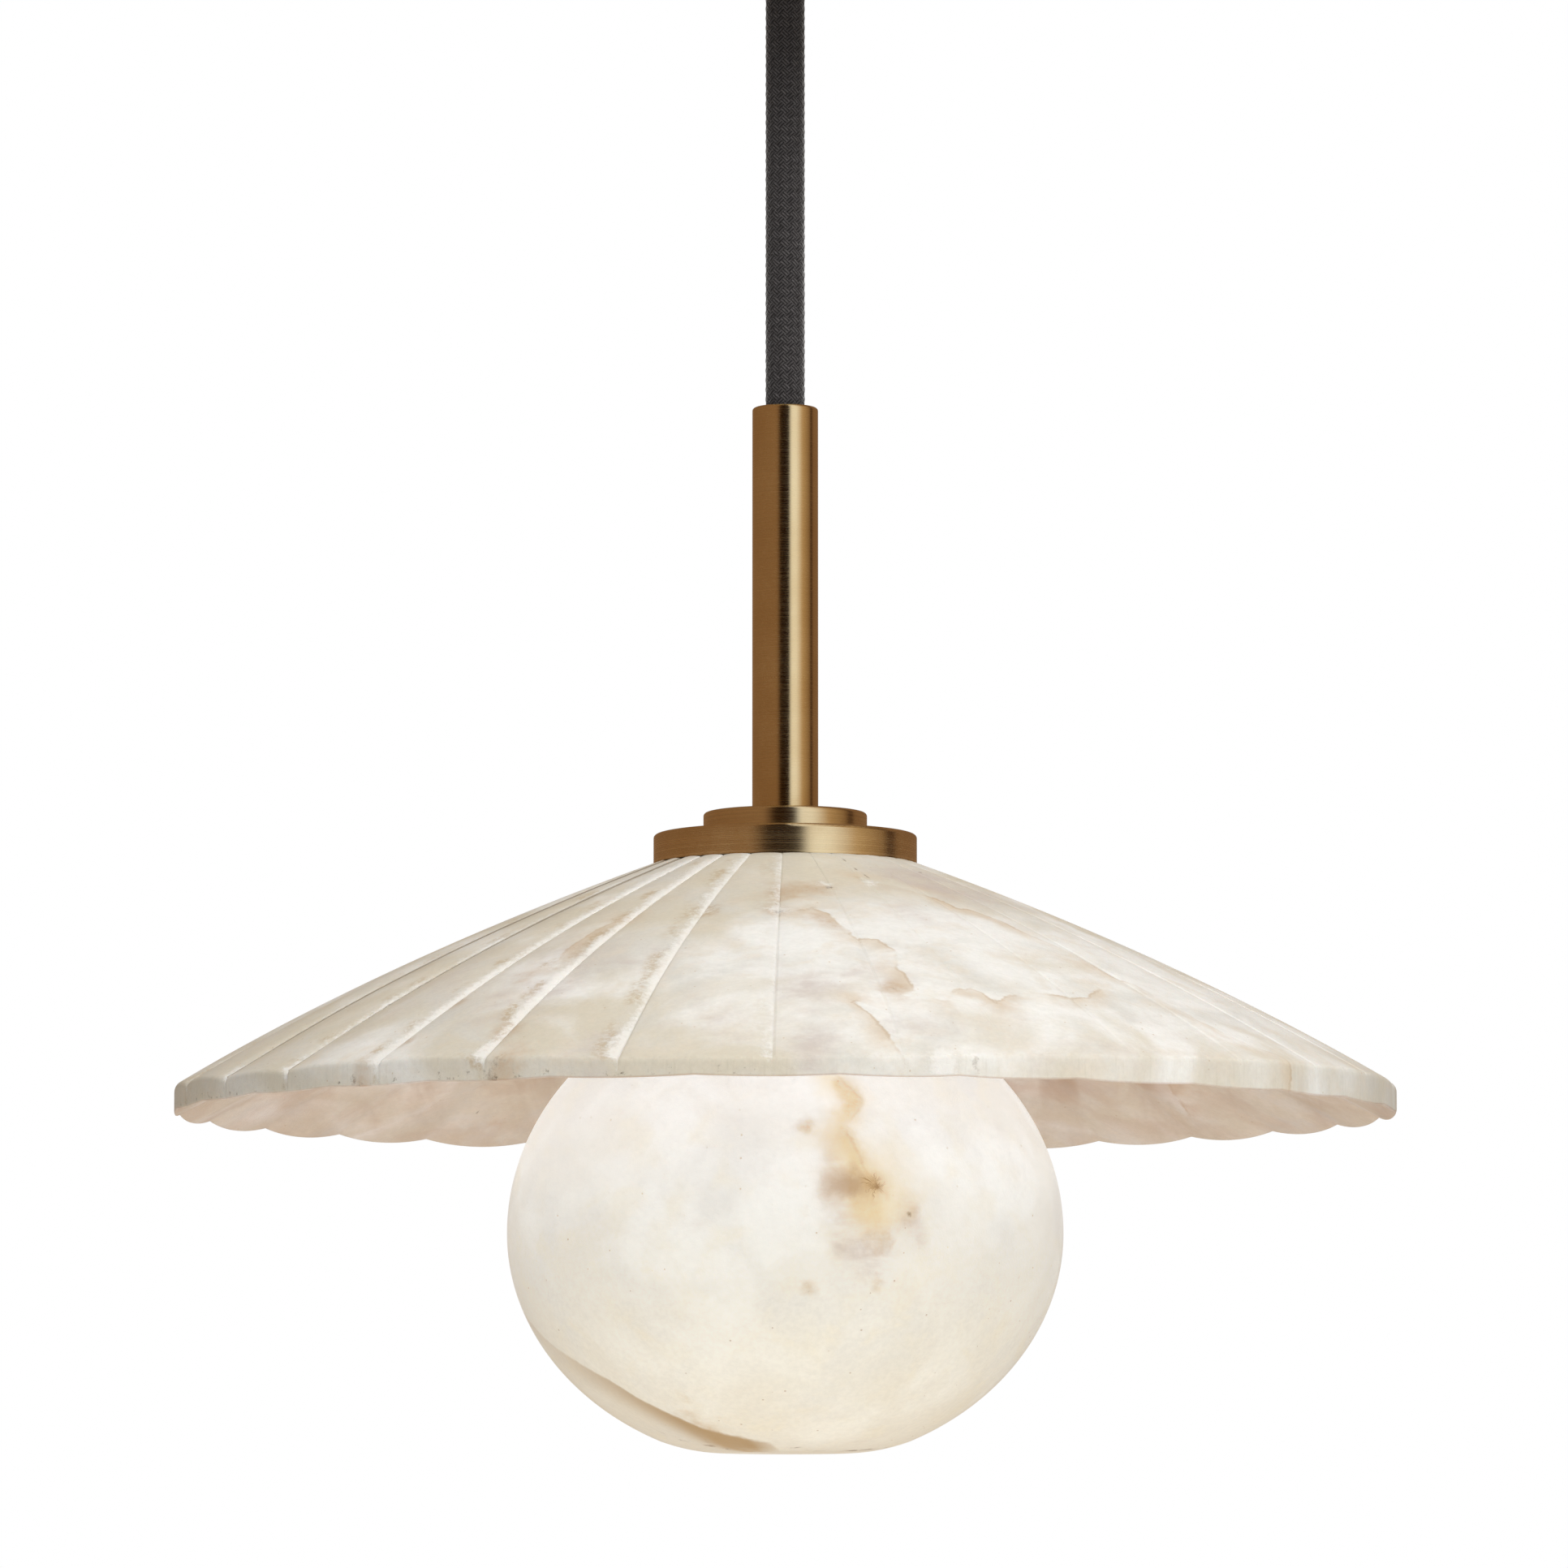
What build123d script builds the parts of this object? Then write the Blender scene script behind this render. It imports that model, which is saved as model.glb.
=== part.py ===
from build123d import *
import math
import os

# Alabaster pendant light: a fluted stone shade over a stone globe, on a brass stem and a textile cord.
# Millimetres, +Z up. The origin is on the lamp's axis in the plane of the ceiling, and the lamp hangs below it.
# The viewer stands on the -Y side.

# Driving dimensions: stone
shade_diameter = 300.0
shade_drop = 54.8
shade_crown_bulge = 2.6
shade_rim_height = 7.8
shade_crown_thickness = 9.0
shade_rim_lip = 1.2
flute_count = 30
flute_depth = 3.0
underside_flute_depth = 2.2
groove_angle = 2.7
stations = 5

globe_diameter = 136.6
globe_upper_height = 61.0
globe_lower_height = 57.0
globe_wall = 8.0
globe_mouth_flat_diameter = 78.0
globe_foot_diameter = 45.0
globe_foot_round = 10.0
globe_lip_height = 4.6

# Driving dimensions: brass stem and caps
stem_diameter = 16.3
stem_length = 101.0
stem_edge_round = 0.8
stem_thread_depth = 14.0
upper_cap_diameter = 40.4
upper_cap_height = 5.5
lower_cap_diameter = 65.0
lower_cap_height = 7.3
cap_edge_round = 0.9

# Driving dimensions: cord and its grip
cord_diameter = 9.8
cord_free_length = 106.0
cord_pivot_depth = 3.0
grip_drop = 14.0
grip_wall = 2.2
grip_flange_height = 2.0
grip_thread_length = 5.0
grip_bushing_height = 2.5
grip_shank_length = 8.0
grip_nut_height = 5.5
anchor_height = 18.0

# Driving dimensions: ceiling fitting
canopy_diameter = 127.0
canopy_height = 28.0
canopy_wall = 1.5
canopy_edge_round = 4.0
crossbar_length = 108.0
crossbar_width = 22.0
crossbar_thickness = 2.5
crossbar_hole_diameter = 20.0
box_screw_spacing = 88.9
box_slot_length = 10.0
box_slot_width = 5.0
stud_spacing = 60.0
stud_diameter = 4.0
canopy_nut_diameter = 10.0
canopy_nut_height = 9.0
ground_screw_place = 20.0
ground_screw_diameter = 4.0
ground_head_diameter = 8.0
ground_head_height = 3.0
supply_lead_diameter = 2.2
connector_length = 18.0
connector_mouth_diameter = 9.0
connector_tip_diameter = 6.0
connector_place = 12.0
connector_depth = 11.0
supply_lead_bend = 4.0

# Driving dimensions: threaded rod and what it clamps
nipple_diameter = 10.0
nipple_bore = 6.5
nut_width = 17.0
nut_height = 6.0
washer_diameter = 50.0
top_washer_thickness = 1.2
bottom_washer_thickness = 2.0
clamp_plate_thickness = 2.5
gallery_diameter = 64.0
gallery_height = 17.5
gallery_wall = 2.5
gallery_neck_diameter = 52.0
gallery_neck_length = 7.0
collar_flange_diameter = 74.0
collar_flange_height = 2.5
collar_wall = 4.0
collar_gasket_thickness = 1.0
ring_nut_height = 5.0
ring_nut_width = 5.5

# Driving dimensions: lampholder and lamp
carrier_height = 3.0
lampholder_diameter = 22.0
lampholder_height = 20.0
lampholder_screw_diameter = 3.0
lampholder_screw_spacing = 15.0
screw_head_recess = 1.0
screw_head_diameter = 5.5
screw_head_height = 2.5
lamp_pin_spacing = 9.0
lamp_pin_diameter = 1.6
lamp_pin_length = 9.0
lamp_diameter = 16.0
lamp_base_height = 9.0
lamp_cover_length = 40.0
lamp_lead_diameter = 2.0

# Clearances
running_gap = 0.3
thread_gap = 0.1
hole_gap = 0.4
swing_limit = 15.0

# Heights from the ceiling down, all from the sizes above
z_canopy_floor = -canopy_height
z_grip_mouth = z_canopy_floor - grip_drop
z_cord_pivot = z_grip_mouth + cord_pivot_depth
z_stem_top = z_grip_mouth - cord_free_length
z_stem_pivot = z_stem_top - cord_pivot_depth
z_stem_foot = z_stem_top - stem_length
z_cap_step = z_stem_foot - upper_cap_height
z_crown = z_cap_step - lower_cap_height
z_shade_edge = z_crown - shade_drop
z_shade_rim = z_shade_edge - shade_rim_height
z_crown_under = z_crown - shade_crown_thickness
z_clamp = z_crown_under - bottom_washer_thickness
z_lock_nut = z_clamp - clamp_plate_thickness
z_gallery = z_lock_nut - nut_height
z_gallery_nut = z_gallery - gallery_wall
z_carrier = z_gallery_nut - nut_height
z_lampholder = z_carrier - carrier_height
z_lampholder_foot = z_lampholder - lampholder_height
z_lamp = z_lampholder_foot - running_gap
z_lamp_cover = z_lamp - lamp_base_height
z_gallery_seat = z_gallery - gallery_height
z_collar = z_gallery_seat - running_gap
z_gasket = z_collar - collar_flange_height
z_mouth = z_gasket - collar_gasket_thickness

# Radii from the sizes above
cord_radius = cord_diameter / 2
stem_radius = stem_diameter / 2
nipple_radius = nipple_diameter / 2
nipple_hole_radius = nipple_radius + thread_gap
stone_hole_radius = nipple_radius + hole_gap
swing_opening = (cord_radius / math.cos(math.radians(swing_limit))
                 + cord_pivot_depth * math.tan(math.radians(swing_limit)))
stem_bore_radius = swing_opening + running_gap
grip_bore_radius = cord_radius + running_gap
grip_thread_radius = grip_bore_radius + grip_wall

os.makedirs("parts", exist_ok=True)


def export(piece, label):
    """Label a finished piece and write it to its own file."""
    piece.part.label = label
    export_step(piece.part, f"parts/{label}.step")


def polar(radius, angle):
    """The point at a radius and an angle in degrees from +X."""
    return (radius * math.cos(math.radians(angle)), radius * math.sin(math.radians(angle)))


# Crossbar: pressed steel strap, screwed to the ceiling box through its two slots
with BuildPart() as crossbar:
    with BuildSketch(Plane.XY):
        Rectangle(crossbar_length, crossbar_width)
        fillet(vertices(), crossbar_thickness)
        Circle(crossbar_hole_diameter / 2, mode=Mode.SUBTRACT)
        with GridLocations(box_screw_spacing, 0, 2, 1):
            SlotOverall(box_slot_length, box_slot_width, mode=Mode.SUBTRACT)
        with GridLocations(stud_spacing, 0, 2, 1):
            Circle(stud_diameter / 2 + thread_gap, mode=Mode.SUBTRACT)
        with Locations((ground_screw_place, 0)):
            Circle(ground_screw_diameter / 2 + thread_gap, mode=Mode.SUBTRACT)
    extrude(amount=-crossbar_thickness)
export(crossbar, "crossbar")

# Ground screw: brass screw with a cheese head under the strap
with BuildPart() as ground_screw:
    with BuildSketch(Plane.XY):
        with Locations((ground_screw_place, 0)):
            Circle(ground_screw_diameter / 2)
    extrude(amount=-crossbar_thickness)
    with BuildSketch(Plane.XY.offset(-crossbar_thickness)):
        with Locations((ground_screw_place, 0)):
            Circle(ground_head_diameter / 2)
    extrude(amount=-ground_head_height)
export(ground_screw, "ground_screw")

# Canopy: spun brass cup, open to the ceiling, with a hole for the grip and two for the studs
with BuildPart() as canopy:
    with BuildSketch(Plane.XY):
        Circle(canopy_diameter / 2)
    extrude(amount=z_canopy_floor)
    fillet(canopy.faces().sort_by(Axis.Z)[0].edges(), canopy_edge_round)
    offset(amount=-canopy_wall, openings=canopy.faces().sort_by(Axis.Z)[-1])
    with BuildSketch(Plane.XY.offset(z_canopy_floor)):
        Circle(grip_thread_radius + thread_gap)
        with GridLocations(stud_spacing, 0, 2, 1):
            Circle(stud_diameter / 2 + thread_gap)
    extrude(amount=canopy_wall, mode=Mode.SUBTRACT)
export(canopy, "canopy")

# Canopy studs: two threaded rods from the strap down through the canopy's floor
stud_length = canopy_height + canopy_nut_height / 2
with BuildPart() as canopy_studs:
    with BuildSketch(Plane.XY):
        with GridLocations(stud_spacing, 0, 2, 1):
            Circle(stud_diameter / 2)
    extrude(amount=-stud_length)
export(canopy_studs, "canopy_studs")

# Canopy nuts: two domed brass nuts that draw the canopy up to the ceiling
with BuildPart() as canopy_nuts:
    with BuildSketch(Plane.XY.offset(z_canopy_floor)):
        with GridLocations(stud_spacing, 0, 2, 1):
            Circle(canopy_nut_diameter / 2)
    extrude(amount=-canopy_nut_height)
    fillet(canopy_nuts.faces().group_by(Axis.Z)[0].edges(), canopy_nut_diameter / 4)
    with BuildSketch(Plane.XY.offset(z_canopy_floor)):
        with GridLocations(stud_spacing, 0, 2, 1):
            Circle(stud_diameter / 2 + thread_gap)
    extrude(amount=-canopy_nut_height / 2 - thread_gap, mode=Mode.SUBTRACT)
export(canopy_nuts, "canopy_nuts")

# Grip body: brass bush through the canopy's floor, with a flange below it and a thread above and below
grip_flange_radius = grip_thread_radius + grip_wall
z_grip_cap = z_canopy_floor - grip_flange_height
z_grip_bushing = z_grip_cap - grip_thread_length
with BuildPart() as grip_body:
    with BuildSketch(Plane.XY.offset(z_canopy_floor)):
        Circle(grip_thread_radius)
    extrude(amount=grip_shank_length)
    with BuildSketch(Plane.XY.offset(z_canopy_floor)):
        Circle(grip_flange_radius)
    extrude(amount=-grip_flange_height)
    with BuildSketch(Plane.XY.offset(z_grip_cap)):
        Circle(grip_thread_radius)
    extrude(amount=-grip_thread_length)
    with BuildSketch(Plane.XY.offset(z_grip_bushing)):
        Circle(grip_bore_radius)
    extrude(amount=grip_thread_length + grip_flange_height + grip_shank_length, mode=Mode.SUBTRACT)
export(grip_body, "grip_body")

# Grip nut: hexagon nut on the shank, inside the canopy
with BuildPart() as grip_nut:
    with BuildSketch(Plane.XY.offset(z_canopy_floor + canopy_wall)):
        RegularPolygon(grip_thread_radius + grip_wall, 6, major_radius=False)
        Circle(grip_thread_radius + thread_gap, mode=Mode.SUBTRACT)
    extrude(amount=grip_nut_height)
export(grip_nut, "grip_nut")

# Grip bushing: rubber ring that the cap squeezes against the cord
with BuildPart() as grip_bushing:
    with BuildSketch(Plane.XY.offset(z_grip_bushing)):
        Circle(grip_thread_radius)
        Circle(grip_bore_radius, mode=Mode.SUBTRACT)
    extrude(amount=-grip_bushing_height)
export(grip_bushing, "grip_bushing")

# Grip cap: turned brass cap with a flared mouth, so that the cord can swing in it
z_grip_shoulder = z_grip_bushing - grip_bushing_height
grip_cap_radius = max(grip_flange_radius, swing_opening + running_gap + grip_wall)
with BuildPart() as grip_cap:
    with BuildSketch(Plane.XZ):
        with BuildLine():
            Polyline(
                (grip_thread_radius + thread_gap, z_grip_cap),
                (grip_cap_radius, z_grip_cap),
                (grip_cap_radius, z_grip_mouth),
                (swing_opening + running_gap, z_grip_mouth),
                (grip_bore_radius, z_grip_shoulder),
                (grip_thread_radius + thread_gap, z_grip_shoulder),
                close=True,
            )
        make_face()
    revolve(axis=Axis.Z)
export(grip_cap, "grip_cap")

# Cord tail: the end of the cord that is gripped, up into the canopy
z_tail_foot = z_cord_pivot + cord_radius + running_gap
z_tail_top = z_canopy_floor + grip_shank_length + running_gap
with BuildPart() as cord_tail:
    with BuildSketch(Plane.XY.offset(z_tail_foot)):
        Circle(cord_radius)
    extrude(amount=z_tail_top - z_tail_foot)
export(cord_tail, "cord_tail")

# Supply leads: two insulated wires from the cord's end to the connectors
with BuildPart() as supply_leads:
    for side in (-1, 1):
        lead_start = side * supply_lead_diameter
        with BuildLine() as lead_route:
            FilletPolyline(
                (0, lead_start, z_tail_top),
                (0, lead_start, -connector_depth),
                (0, side * connector_place, -connector_depth),
                radius=supply_lead_bend,
            )
        with BuildSketch(Plane(origin=lead_route.line @ 0, z_dir=lead_route.line % 0)):
            Circle(supply_lead_diameter / 2)
        sweep(path=lead_route.line)
export(supply_leads, "supply_leads")

# Wire connectors: two twist-on caps that join the leads to the house wires
with BuildPart() as wire_connectors:
    for side in (-1, 1):
        mouth = Plane(origin=(0, side * connector_place, -connector_depth), z_dir=(0, side, 0))
        with BuildSketch(mouth):
            Circle(connector_mouth_diameter / 2)
        with BuildSketch(mouth.offset(connector_length)):
            Circle(connector_tip_diameter / 2)
        loft()
export(wire_connectors, "wire_connectors")

# Earth lead: third wire, from the cord's end to the ground screw's head
earth_depth = crossbar_thickness + ground_head_height / 2
with BuildPart() as earth_lead:
    with BuildLine() as earth_route:
        FilletPolyline(
            (supply_lead_diameter, 0, z_tail_top),
            (supply_lead_diameter, 0, -earth_depth),
            (ground_screw_place - ground_head_diameter / 2, 0, -earth_depth),
            radius=supply_lead_bend,
        )
    with BuildSketch(Plane(origin=earth_route.line @ 0, z_dir=earth_route.line % 0)):
        Circle(supply_lead_diameter / 2)
    sweep(path=earth_route.line)
export(earth_lead, "earth_lead")

# Cord: straight textile cord with round ends, centred on the two points where it bends
round_end = cord_radius * math.sqrt(0.5)
with BuildPart() as cord:
    with BuildSketch(Plane.XZ):
        with BuildLine():
            ThreePointArc(
                (0, z_cord_pivot + cord_radius),
                (round_end, z_cord_pivot + round_end),
                (cord_radius, z_cord_pivot),
            )
            Line((cord_radius, z_cord_pivot), (cord_radius, z_stem_pivot))
            ThreePointArc(
                (cord_radius, z_stem_pivot),
                (round_end, z_stem_pivot - round_end),
                (0, z_stem_pivot - cord_radius),
            )
            Line((0, z_stem_pivot - cord_radius), (0, z_cord_pivot + cord_radius))
        make_face()
    revolve(axis=Axis.Z)
export(cord, "cord")

# Stem: turned brass tube, threaded at the foot for the nipple
z_stem_thread = z_stem_foot + stem_thread_depth
with BuildPart() as stem:
    with BuildSketch(Plane.XY.offset(z_stem_foot)):
        Circle(stem_radius)
        Circle(nipple_hole_radius, mode=Mode.SUBTRACT)
    extrude(amount=stem_length)
    with BuildSketch(Plane.XY.offset(z_stem_thread)):
        Circle(stem_bore_radius)
    extrude(amount=z_stem_top - z_stem_thread, mode=Mode.SUBTRACT)
    fillet(stem.faces().sort_by(Axis.Z)[-1].outer_wire().edges(), stem_edge_round)
export(stem, "stem")

# Cord anchor: brass plug in the stem that holds the cord's end and lets the wires pass
z_anchor = z_stem_pivot - cord_radius - running_gap
lamp_lead_place = lamp_lead_diameter / 2 + thread_gap
lamp_lead_reach = lamp_lead_place + lamp_lead_diameter / 2
with BuildPart() as cord_anchor:
    with BuildSketch(Plane.XY.offset(z_anchor)):
        Circle(stem_bore_radius - thread_gap)
        Circle(lamp_lead_reach + thread_gap, mode=Mode.SUBTRACT)
    extrude(amount=-anchor_height)
export(cord_anchor, "cord_anchor")

# Lamp leads: two wires from the anchor down the stem and the nipple to the lampholder
with BuildPart() as lamp_leads:
    with BuildSketch(Plane.XY.offset(z_anchor)):
        with GridLocations(2 * lamp_lead_place, 0, 2, 1):
            Circle(lamp_lead_diameter / 2)
    extrude(amount=z_lampholder - z_anchor)
export(lamp_leads, "lamp_leads")

# Nipple: hollow threaded rod that clamps the caps, the shade and the gallery to the stem
z_nipple_top = z_stem_thread - running_gap
with BuildPart() as nipple:
    with BuildSketch(Plane.XY.offset(z_nipple_top)):
        Circle(nipple_radius)
        Circle(nipple_bore / 2, mode=Mode.SUBTRACT)
    extrude(amount=z_lampholder - z_nipple_top)
export(nipple, "nipple")

# Upper cap: small turned brass disc at the foot of the stem
with BuildPart() as upper_cap:
    with BuildSketch(Plane.XY.offset(z_cap_step)):
        Circle(upper_cap_diameter / 2)
        Circle(nipple_hole_radius, mode=Mode.SUBTRACT)
    extrude(amount=upper_cap_height)
    fillet(upper_cap.faces().sort_by(Axis.Z)[-1].outer_wire().edges(), cap_edge_round)
export(upper_cap, "upper_cap")

# Lower cap: large turned brass disc on the shade's crown, recessed below for a washer
washer_radius = washer_diameter / 2
with BuildPart() as lower_cap:
    with BuildSketch(Plane.XY.offset(z_crown)):
        Circle(lower_cap_diameter / 2)
        Circle(nipple_hole_radius, mode=Mode.SUBTRACT)
    extrude(amount=lower_cap_height)
    fillet(lower_cap.faces().sort_by(Axis.Z)[-1].outer_wire().edges(), cap_edge_round)
    with BuildSketch(Plane.XY.offset(z_crown)):
        Circle(washer_radius + hole_gap)
    extrude(amount=top_washer_thickness, mode=Mode.SUBTRACT)
export(lower_cap, "lower_cap")


def washer(name, z_foot, thickness, radius):
    """Flat ring round the nipple."""
    with BuildPart() as ring:
        with BuildSketch(Plane.XY.offset(z_foot)):
            Circle(radius)
            Circle(nipple_hole_radius, mode=Mode.SUBTRACT)
        extrude(amount=thickness)
    export(ring, name)


def hexagon_nut(name, z_foot):
    """Hexagon nut on the nipple."""
    with BuildPart() as nut:
        with BuildSketch(Plane.XY.offset(z_foot)):
            RegularPolygon(nut_width / 2, 6, major_radius=False)
            Circle(nipple_hole_radius, mode=Mode.SUBTRACT)
        extrude(amount=nut_height)
    export(nut, name)


# Felt washer above the crown, rubber washer and steel plate below it, and the nut that clamps them
washer("top_washer", z_crown, top_washer_thickness, washer_radius)
washer("bottom_washer", z_clamp, bottom_washer_thickness, washer_radius)
washer("clamp_plate", z_lock_nut, clamp_plate_thickness, washer_radius)
hexagon_nut("lock_nut", z_gallery)


def shade_profile(inner_point, outer_point, share):
    """Radius and height on a gently crowned line from the crown to the rim, at a share of its length."""
    run = outer_point[0] - inner_point[0]
    fall = inner_point[1] - outer_point[1]
    length = math.hypot(run, fall)
    bulge = 4 * shade_crown_bulge * share * (1 - share)
    radius = inner_point[0] + run * share + bulge * fall / length
    height = inner_point[1] - fall * share + bulge * run / length
    return radius, height


def scalloped_ring(corner_radius, middle_radius, first_corner):
    """Closed outline of equal arcs, one a flute, from corner to corner through a middle radius."""
    pitch = 360 / flute_count
    for flute in range(flute_count):
        angle = first_corner + flute * pitch
        ThreePointArc(
            polar(corner_radius, angle),
            polar(middle_radius, angle + pitch / 2),
            polar(corner_radius, angle + pitch),
        )


# Shade: carved alabaster shell. Rounded flutes with sharp grooves between them run down the top, and the
# same flutes, moved by half a flute, run down the underside, so the stone is about as thick all over.
shade_radius = shade_diameter / 2
groove_share = 1 - flute_depth / shade_radius
underside_share = 1 - underside_flute_depth / shade_radius
underside_angle = groove_angle + 180 / flute_count
crown_edge = (lower_cap_diameter / 2, z_crown)
rim_edge = (shade_radius, z_shade_edge)
under_crown_edge = (washer_radius + shade_rim_lip + hole_gap, z_crown_under)
under_rim_edge = (shade_radius * groove_share - shade_rim_lip, z_shade_rim)
with BuildPart() as shade:
    for station in range(stations):
        radius, height = shade_profile(crown_edge, rim_edge, station / (stations - 1))
        with BuildSketch(Plane.XY.offset(height)):
            with BuildLine():
                scalloped_ring(radius * groove_share, radius, groove_angle)
            make_face()
    loft()
    with BuildSketch(Plane.XY.offset(z_shade_edge)):
        with BuildLine():
            scalloped_ring(shade_radius * groove_share, shade_radius, groove_angle)
        make_face()
    extrude(amount=-shade_rim_height)
    for station in range(stations):
        radius, height = shade_profile(under_crown_edge, under_rim_edge, station / (stations - 1))
        with BuildSketch(Plane.XY.offset(height)):
            with BuildLine():
                scalloped_ring(radius, radius * underside_share, underside_angle)
            make_face()
    loft(mode=Mode.SUBTRACT)
    with BuildSketch(Plane.XY.offset(z_crown)):
        Circle(stone_hole_radius)
    extrude(amount=-shade_crown_thickness, mode=Mode.SUBTRACT)
export(shade, "shade")

# Gallery: spun brass cup on the nipple, with a threaded neck that carries the globe
gallery_radius = gallery_diameter / 2
neck_radius = gallery_neck_diameter / 2
with BuildPart() as gallery:
    with BuildSketch(Plane.XZ):
        with BuildLine():
            Polyline(
                (nipple_hole_radius, z_gallery),
                (gallery_radius, z_gallery),
                (gallery_radius, z_gallery_seat),
                (neck_radius, z_gallery_seat),
                (neck_radius, z_gallery_seat - gallery_neck_length),
                (neck_radius - gallery_wall, z_gallery_seat - gallery_neck_length),
                (neck_radius - gallery_wall, z_gallery_seat + gallery_wall),
                (gallery_radius - gallery_wall, z_gallery_seat + gallery_wall),
                (gallery_radius - gallery_wall, z_gallery_nut),
                (nipple_hole_radius, z_gallery_nut),
                close=True,
            )
        make_face()
    revolve(axis=Axis.Z)
export(gallery, "gallery")

hexagon_nut("gallery_nut", z_carrier)

# Lampholder carrier: steel disc threaded on the nipple's end, tapped for the lampholder's screws
with BuildPart() as lampholder_carrier:
    with BuildSketch(Plane.XY.offset(z_lampholder)):
        Circle(lampholder_diameter / 2)
        Circle(nipple_hole_radius, mode=Mode.SUBTRACT)
        with GridLocations(0, lampholder_screw_spacing, 1, 2):
            Circle(lampholder_screw_diameter / 2 + thread_gap, mode=Mode.SUBTRACT)
    extrude(amount=carrier_height)
export(lampholder_carrier, "lampholder_carrier")

# Lampholder: pressed ceramic block with two pin sockets and two countersunk fixing holes
z_screw_head = z_lampholder_foot + screw_head_recess
with BuildPart() as lampholder:
    with BuildSketch(Plane.XY.offset(z_lampholder_foot)):
        Circle(lampholder_diameter / 2)
        with GridLocations(0, lampholder_screw_spacing, 1, 2):
            Circle(lampholder_screw_diameter / 2 + thread_gap, mode=Mode.SUBTRACT)
    extrude(amount=lampholder_height)
    with BuildSketch(Plane.XY.offset(z_lampholder_foot)):
        with GridLocations(0, lampholder_screw_spacing, 1, 2):
            Circle(screw_head_diameter / 2 + thread_gap)
    extrude(amount=screw_head_recess + screw_head_height, mode=Mode.SUBTRACT)
    with BuildSketch(Plane.XY.offset(z_lampholder_foot)):
        with GridLocations(lamp_pin_spacing, 0, 2, 1):
            Circle(lamp_pin_diameter / 2 + running_gap)
    extrude(amount=lamp_pin_length + running_gap, mode=Mode.SUBTRACT)
export(lampholder, "lampholder")

# Lampholder screws: two pan-head screws up through the lampholder into the carrier
with BuildPart() as lampholder_screws:
    with BuildSketch(Plane.XY.offset(z_screw_head)):
        with GridLocations(0, lampholder_screw_spacing, 1, 2):
            Circle(screw_head_diameter / 2)
    extrude(amount=screw_head_height)
    with BuildSketch(Plane.XY.offset(z_screw_head)):
        with GridLocations(0, lampholder_screw_spacing, 1, 2):
            Circle(lampholder_screw_diameter / 2)
    extrude(amount=z_carrier - z_screw_head)
export(lampholder_screws, "lampholder_screws")

# Lamp base: moulded foot of the push-in lamp
lamp_radius = lamp_diameter / 2
with BuildPart() as lamp_base:
    with BuildSketch(Plane.XY.offset(z_lamp_cover)):
        Circle(lamp_radius)
    extrude(amount=lamp_base_height)
export(lamp_base, "lamp_base")

# Lamp pins: two wire pins that push into the lampholder's sockets
with BuildPart() as lamp_pins:
    with BuildSketch(Plane.XY.offset(z_lamp)):
        with GridLocations(lamp_pin_spacing, 0, 2, 1):
            Circle(lamp_pin_diameter / 2)
    extrude(amount=lamp_pin_length)
export(lamp_pins, "lamp_pins")

# Lamp cover: frosted sleeve with a domed end
with BuildPart() as lamp_cover:
    with BuildSketch(Plane.XY.offset(z_lamp_cover)):
        Circle(lamp_radius)
    extrude(amount=-lamp_cover_length)
    fillet(lamp_cover.faces().sort_by(Axis.Z)[0].edges(), lamp_radius - running_gap)
export(lamp_cover, "lamp_cover")

# Globe collar: flanged brass bush in the globe's mouth, screwed over the gallery's neck
collar_bore_radius = neck_radius + running_gap
collar_radius = collar_bore_radius + collar_wall
collar_flange_radius = collar_flange_diameter / 2
z_lip = z_mouth - globe_lip_height
z_collar_foot = z_lip - ring_nut_height
with BuildPart() as globe_collar:
    with BuildSketch(Plane.XY.offset(z_gasket)):
        Circle(collar_flange_radius)
    extrude(amount=collar_flange_height)
    with BuildSketch(Plane.XY.offset(z_gasket)):
        Circle(collar_radius)
    extrude(amount=z_collar_foot - z_gasket)
    with BuildSketch(Plane.XY.offset(z_collar)):
        Circle(collar_bore_radius)
    extrude(amount=z_collar_foot - z_collar, mode=Mode.SUBTRACT)
export(globe_collar, "globe_collar")

# Globe gasket: rubber ring between the collar's flange and the stone
with BuildPart() as globe_gasket:
    with BuildSketch(Plane.XY.offset(z_mouth)):
        Circle(collar_flange_radius)
        Circle(collar_radius + thread_gap, mode=Mode.SUBTRACT)
    extrude(amount=collar_gasket_thickness)
export(globe_gasket, "globe_gasket")

# Collar ring nut: brass ring inside the globe that clamps the stone's lip to the collar
ring_nut_radius = collar_radius + ring_nut_width
with BuildPart() as collar_ring_nut:
    with BuildSketch(Plane.XY.offset(z_collar_foot)):
        Circle(ring_nut_radius)
        Circle(collar_radius + thread_gap, mode=Mode.SUBTRACT)
    extrude(amount=ring_nut_height)
export(collar_ring_nut, "collar_ring_nut")


def share_angle(distance, reach):
    """Angle in degrees, measured round an ellipse, at which it stands a given distance from its axis."""
    return math.degrees(math.acos(distance / reach))


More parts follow.
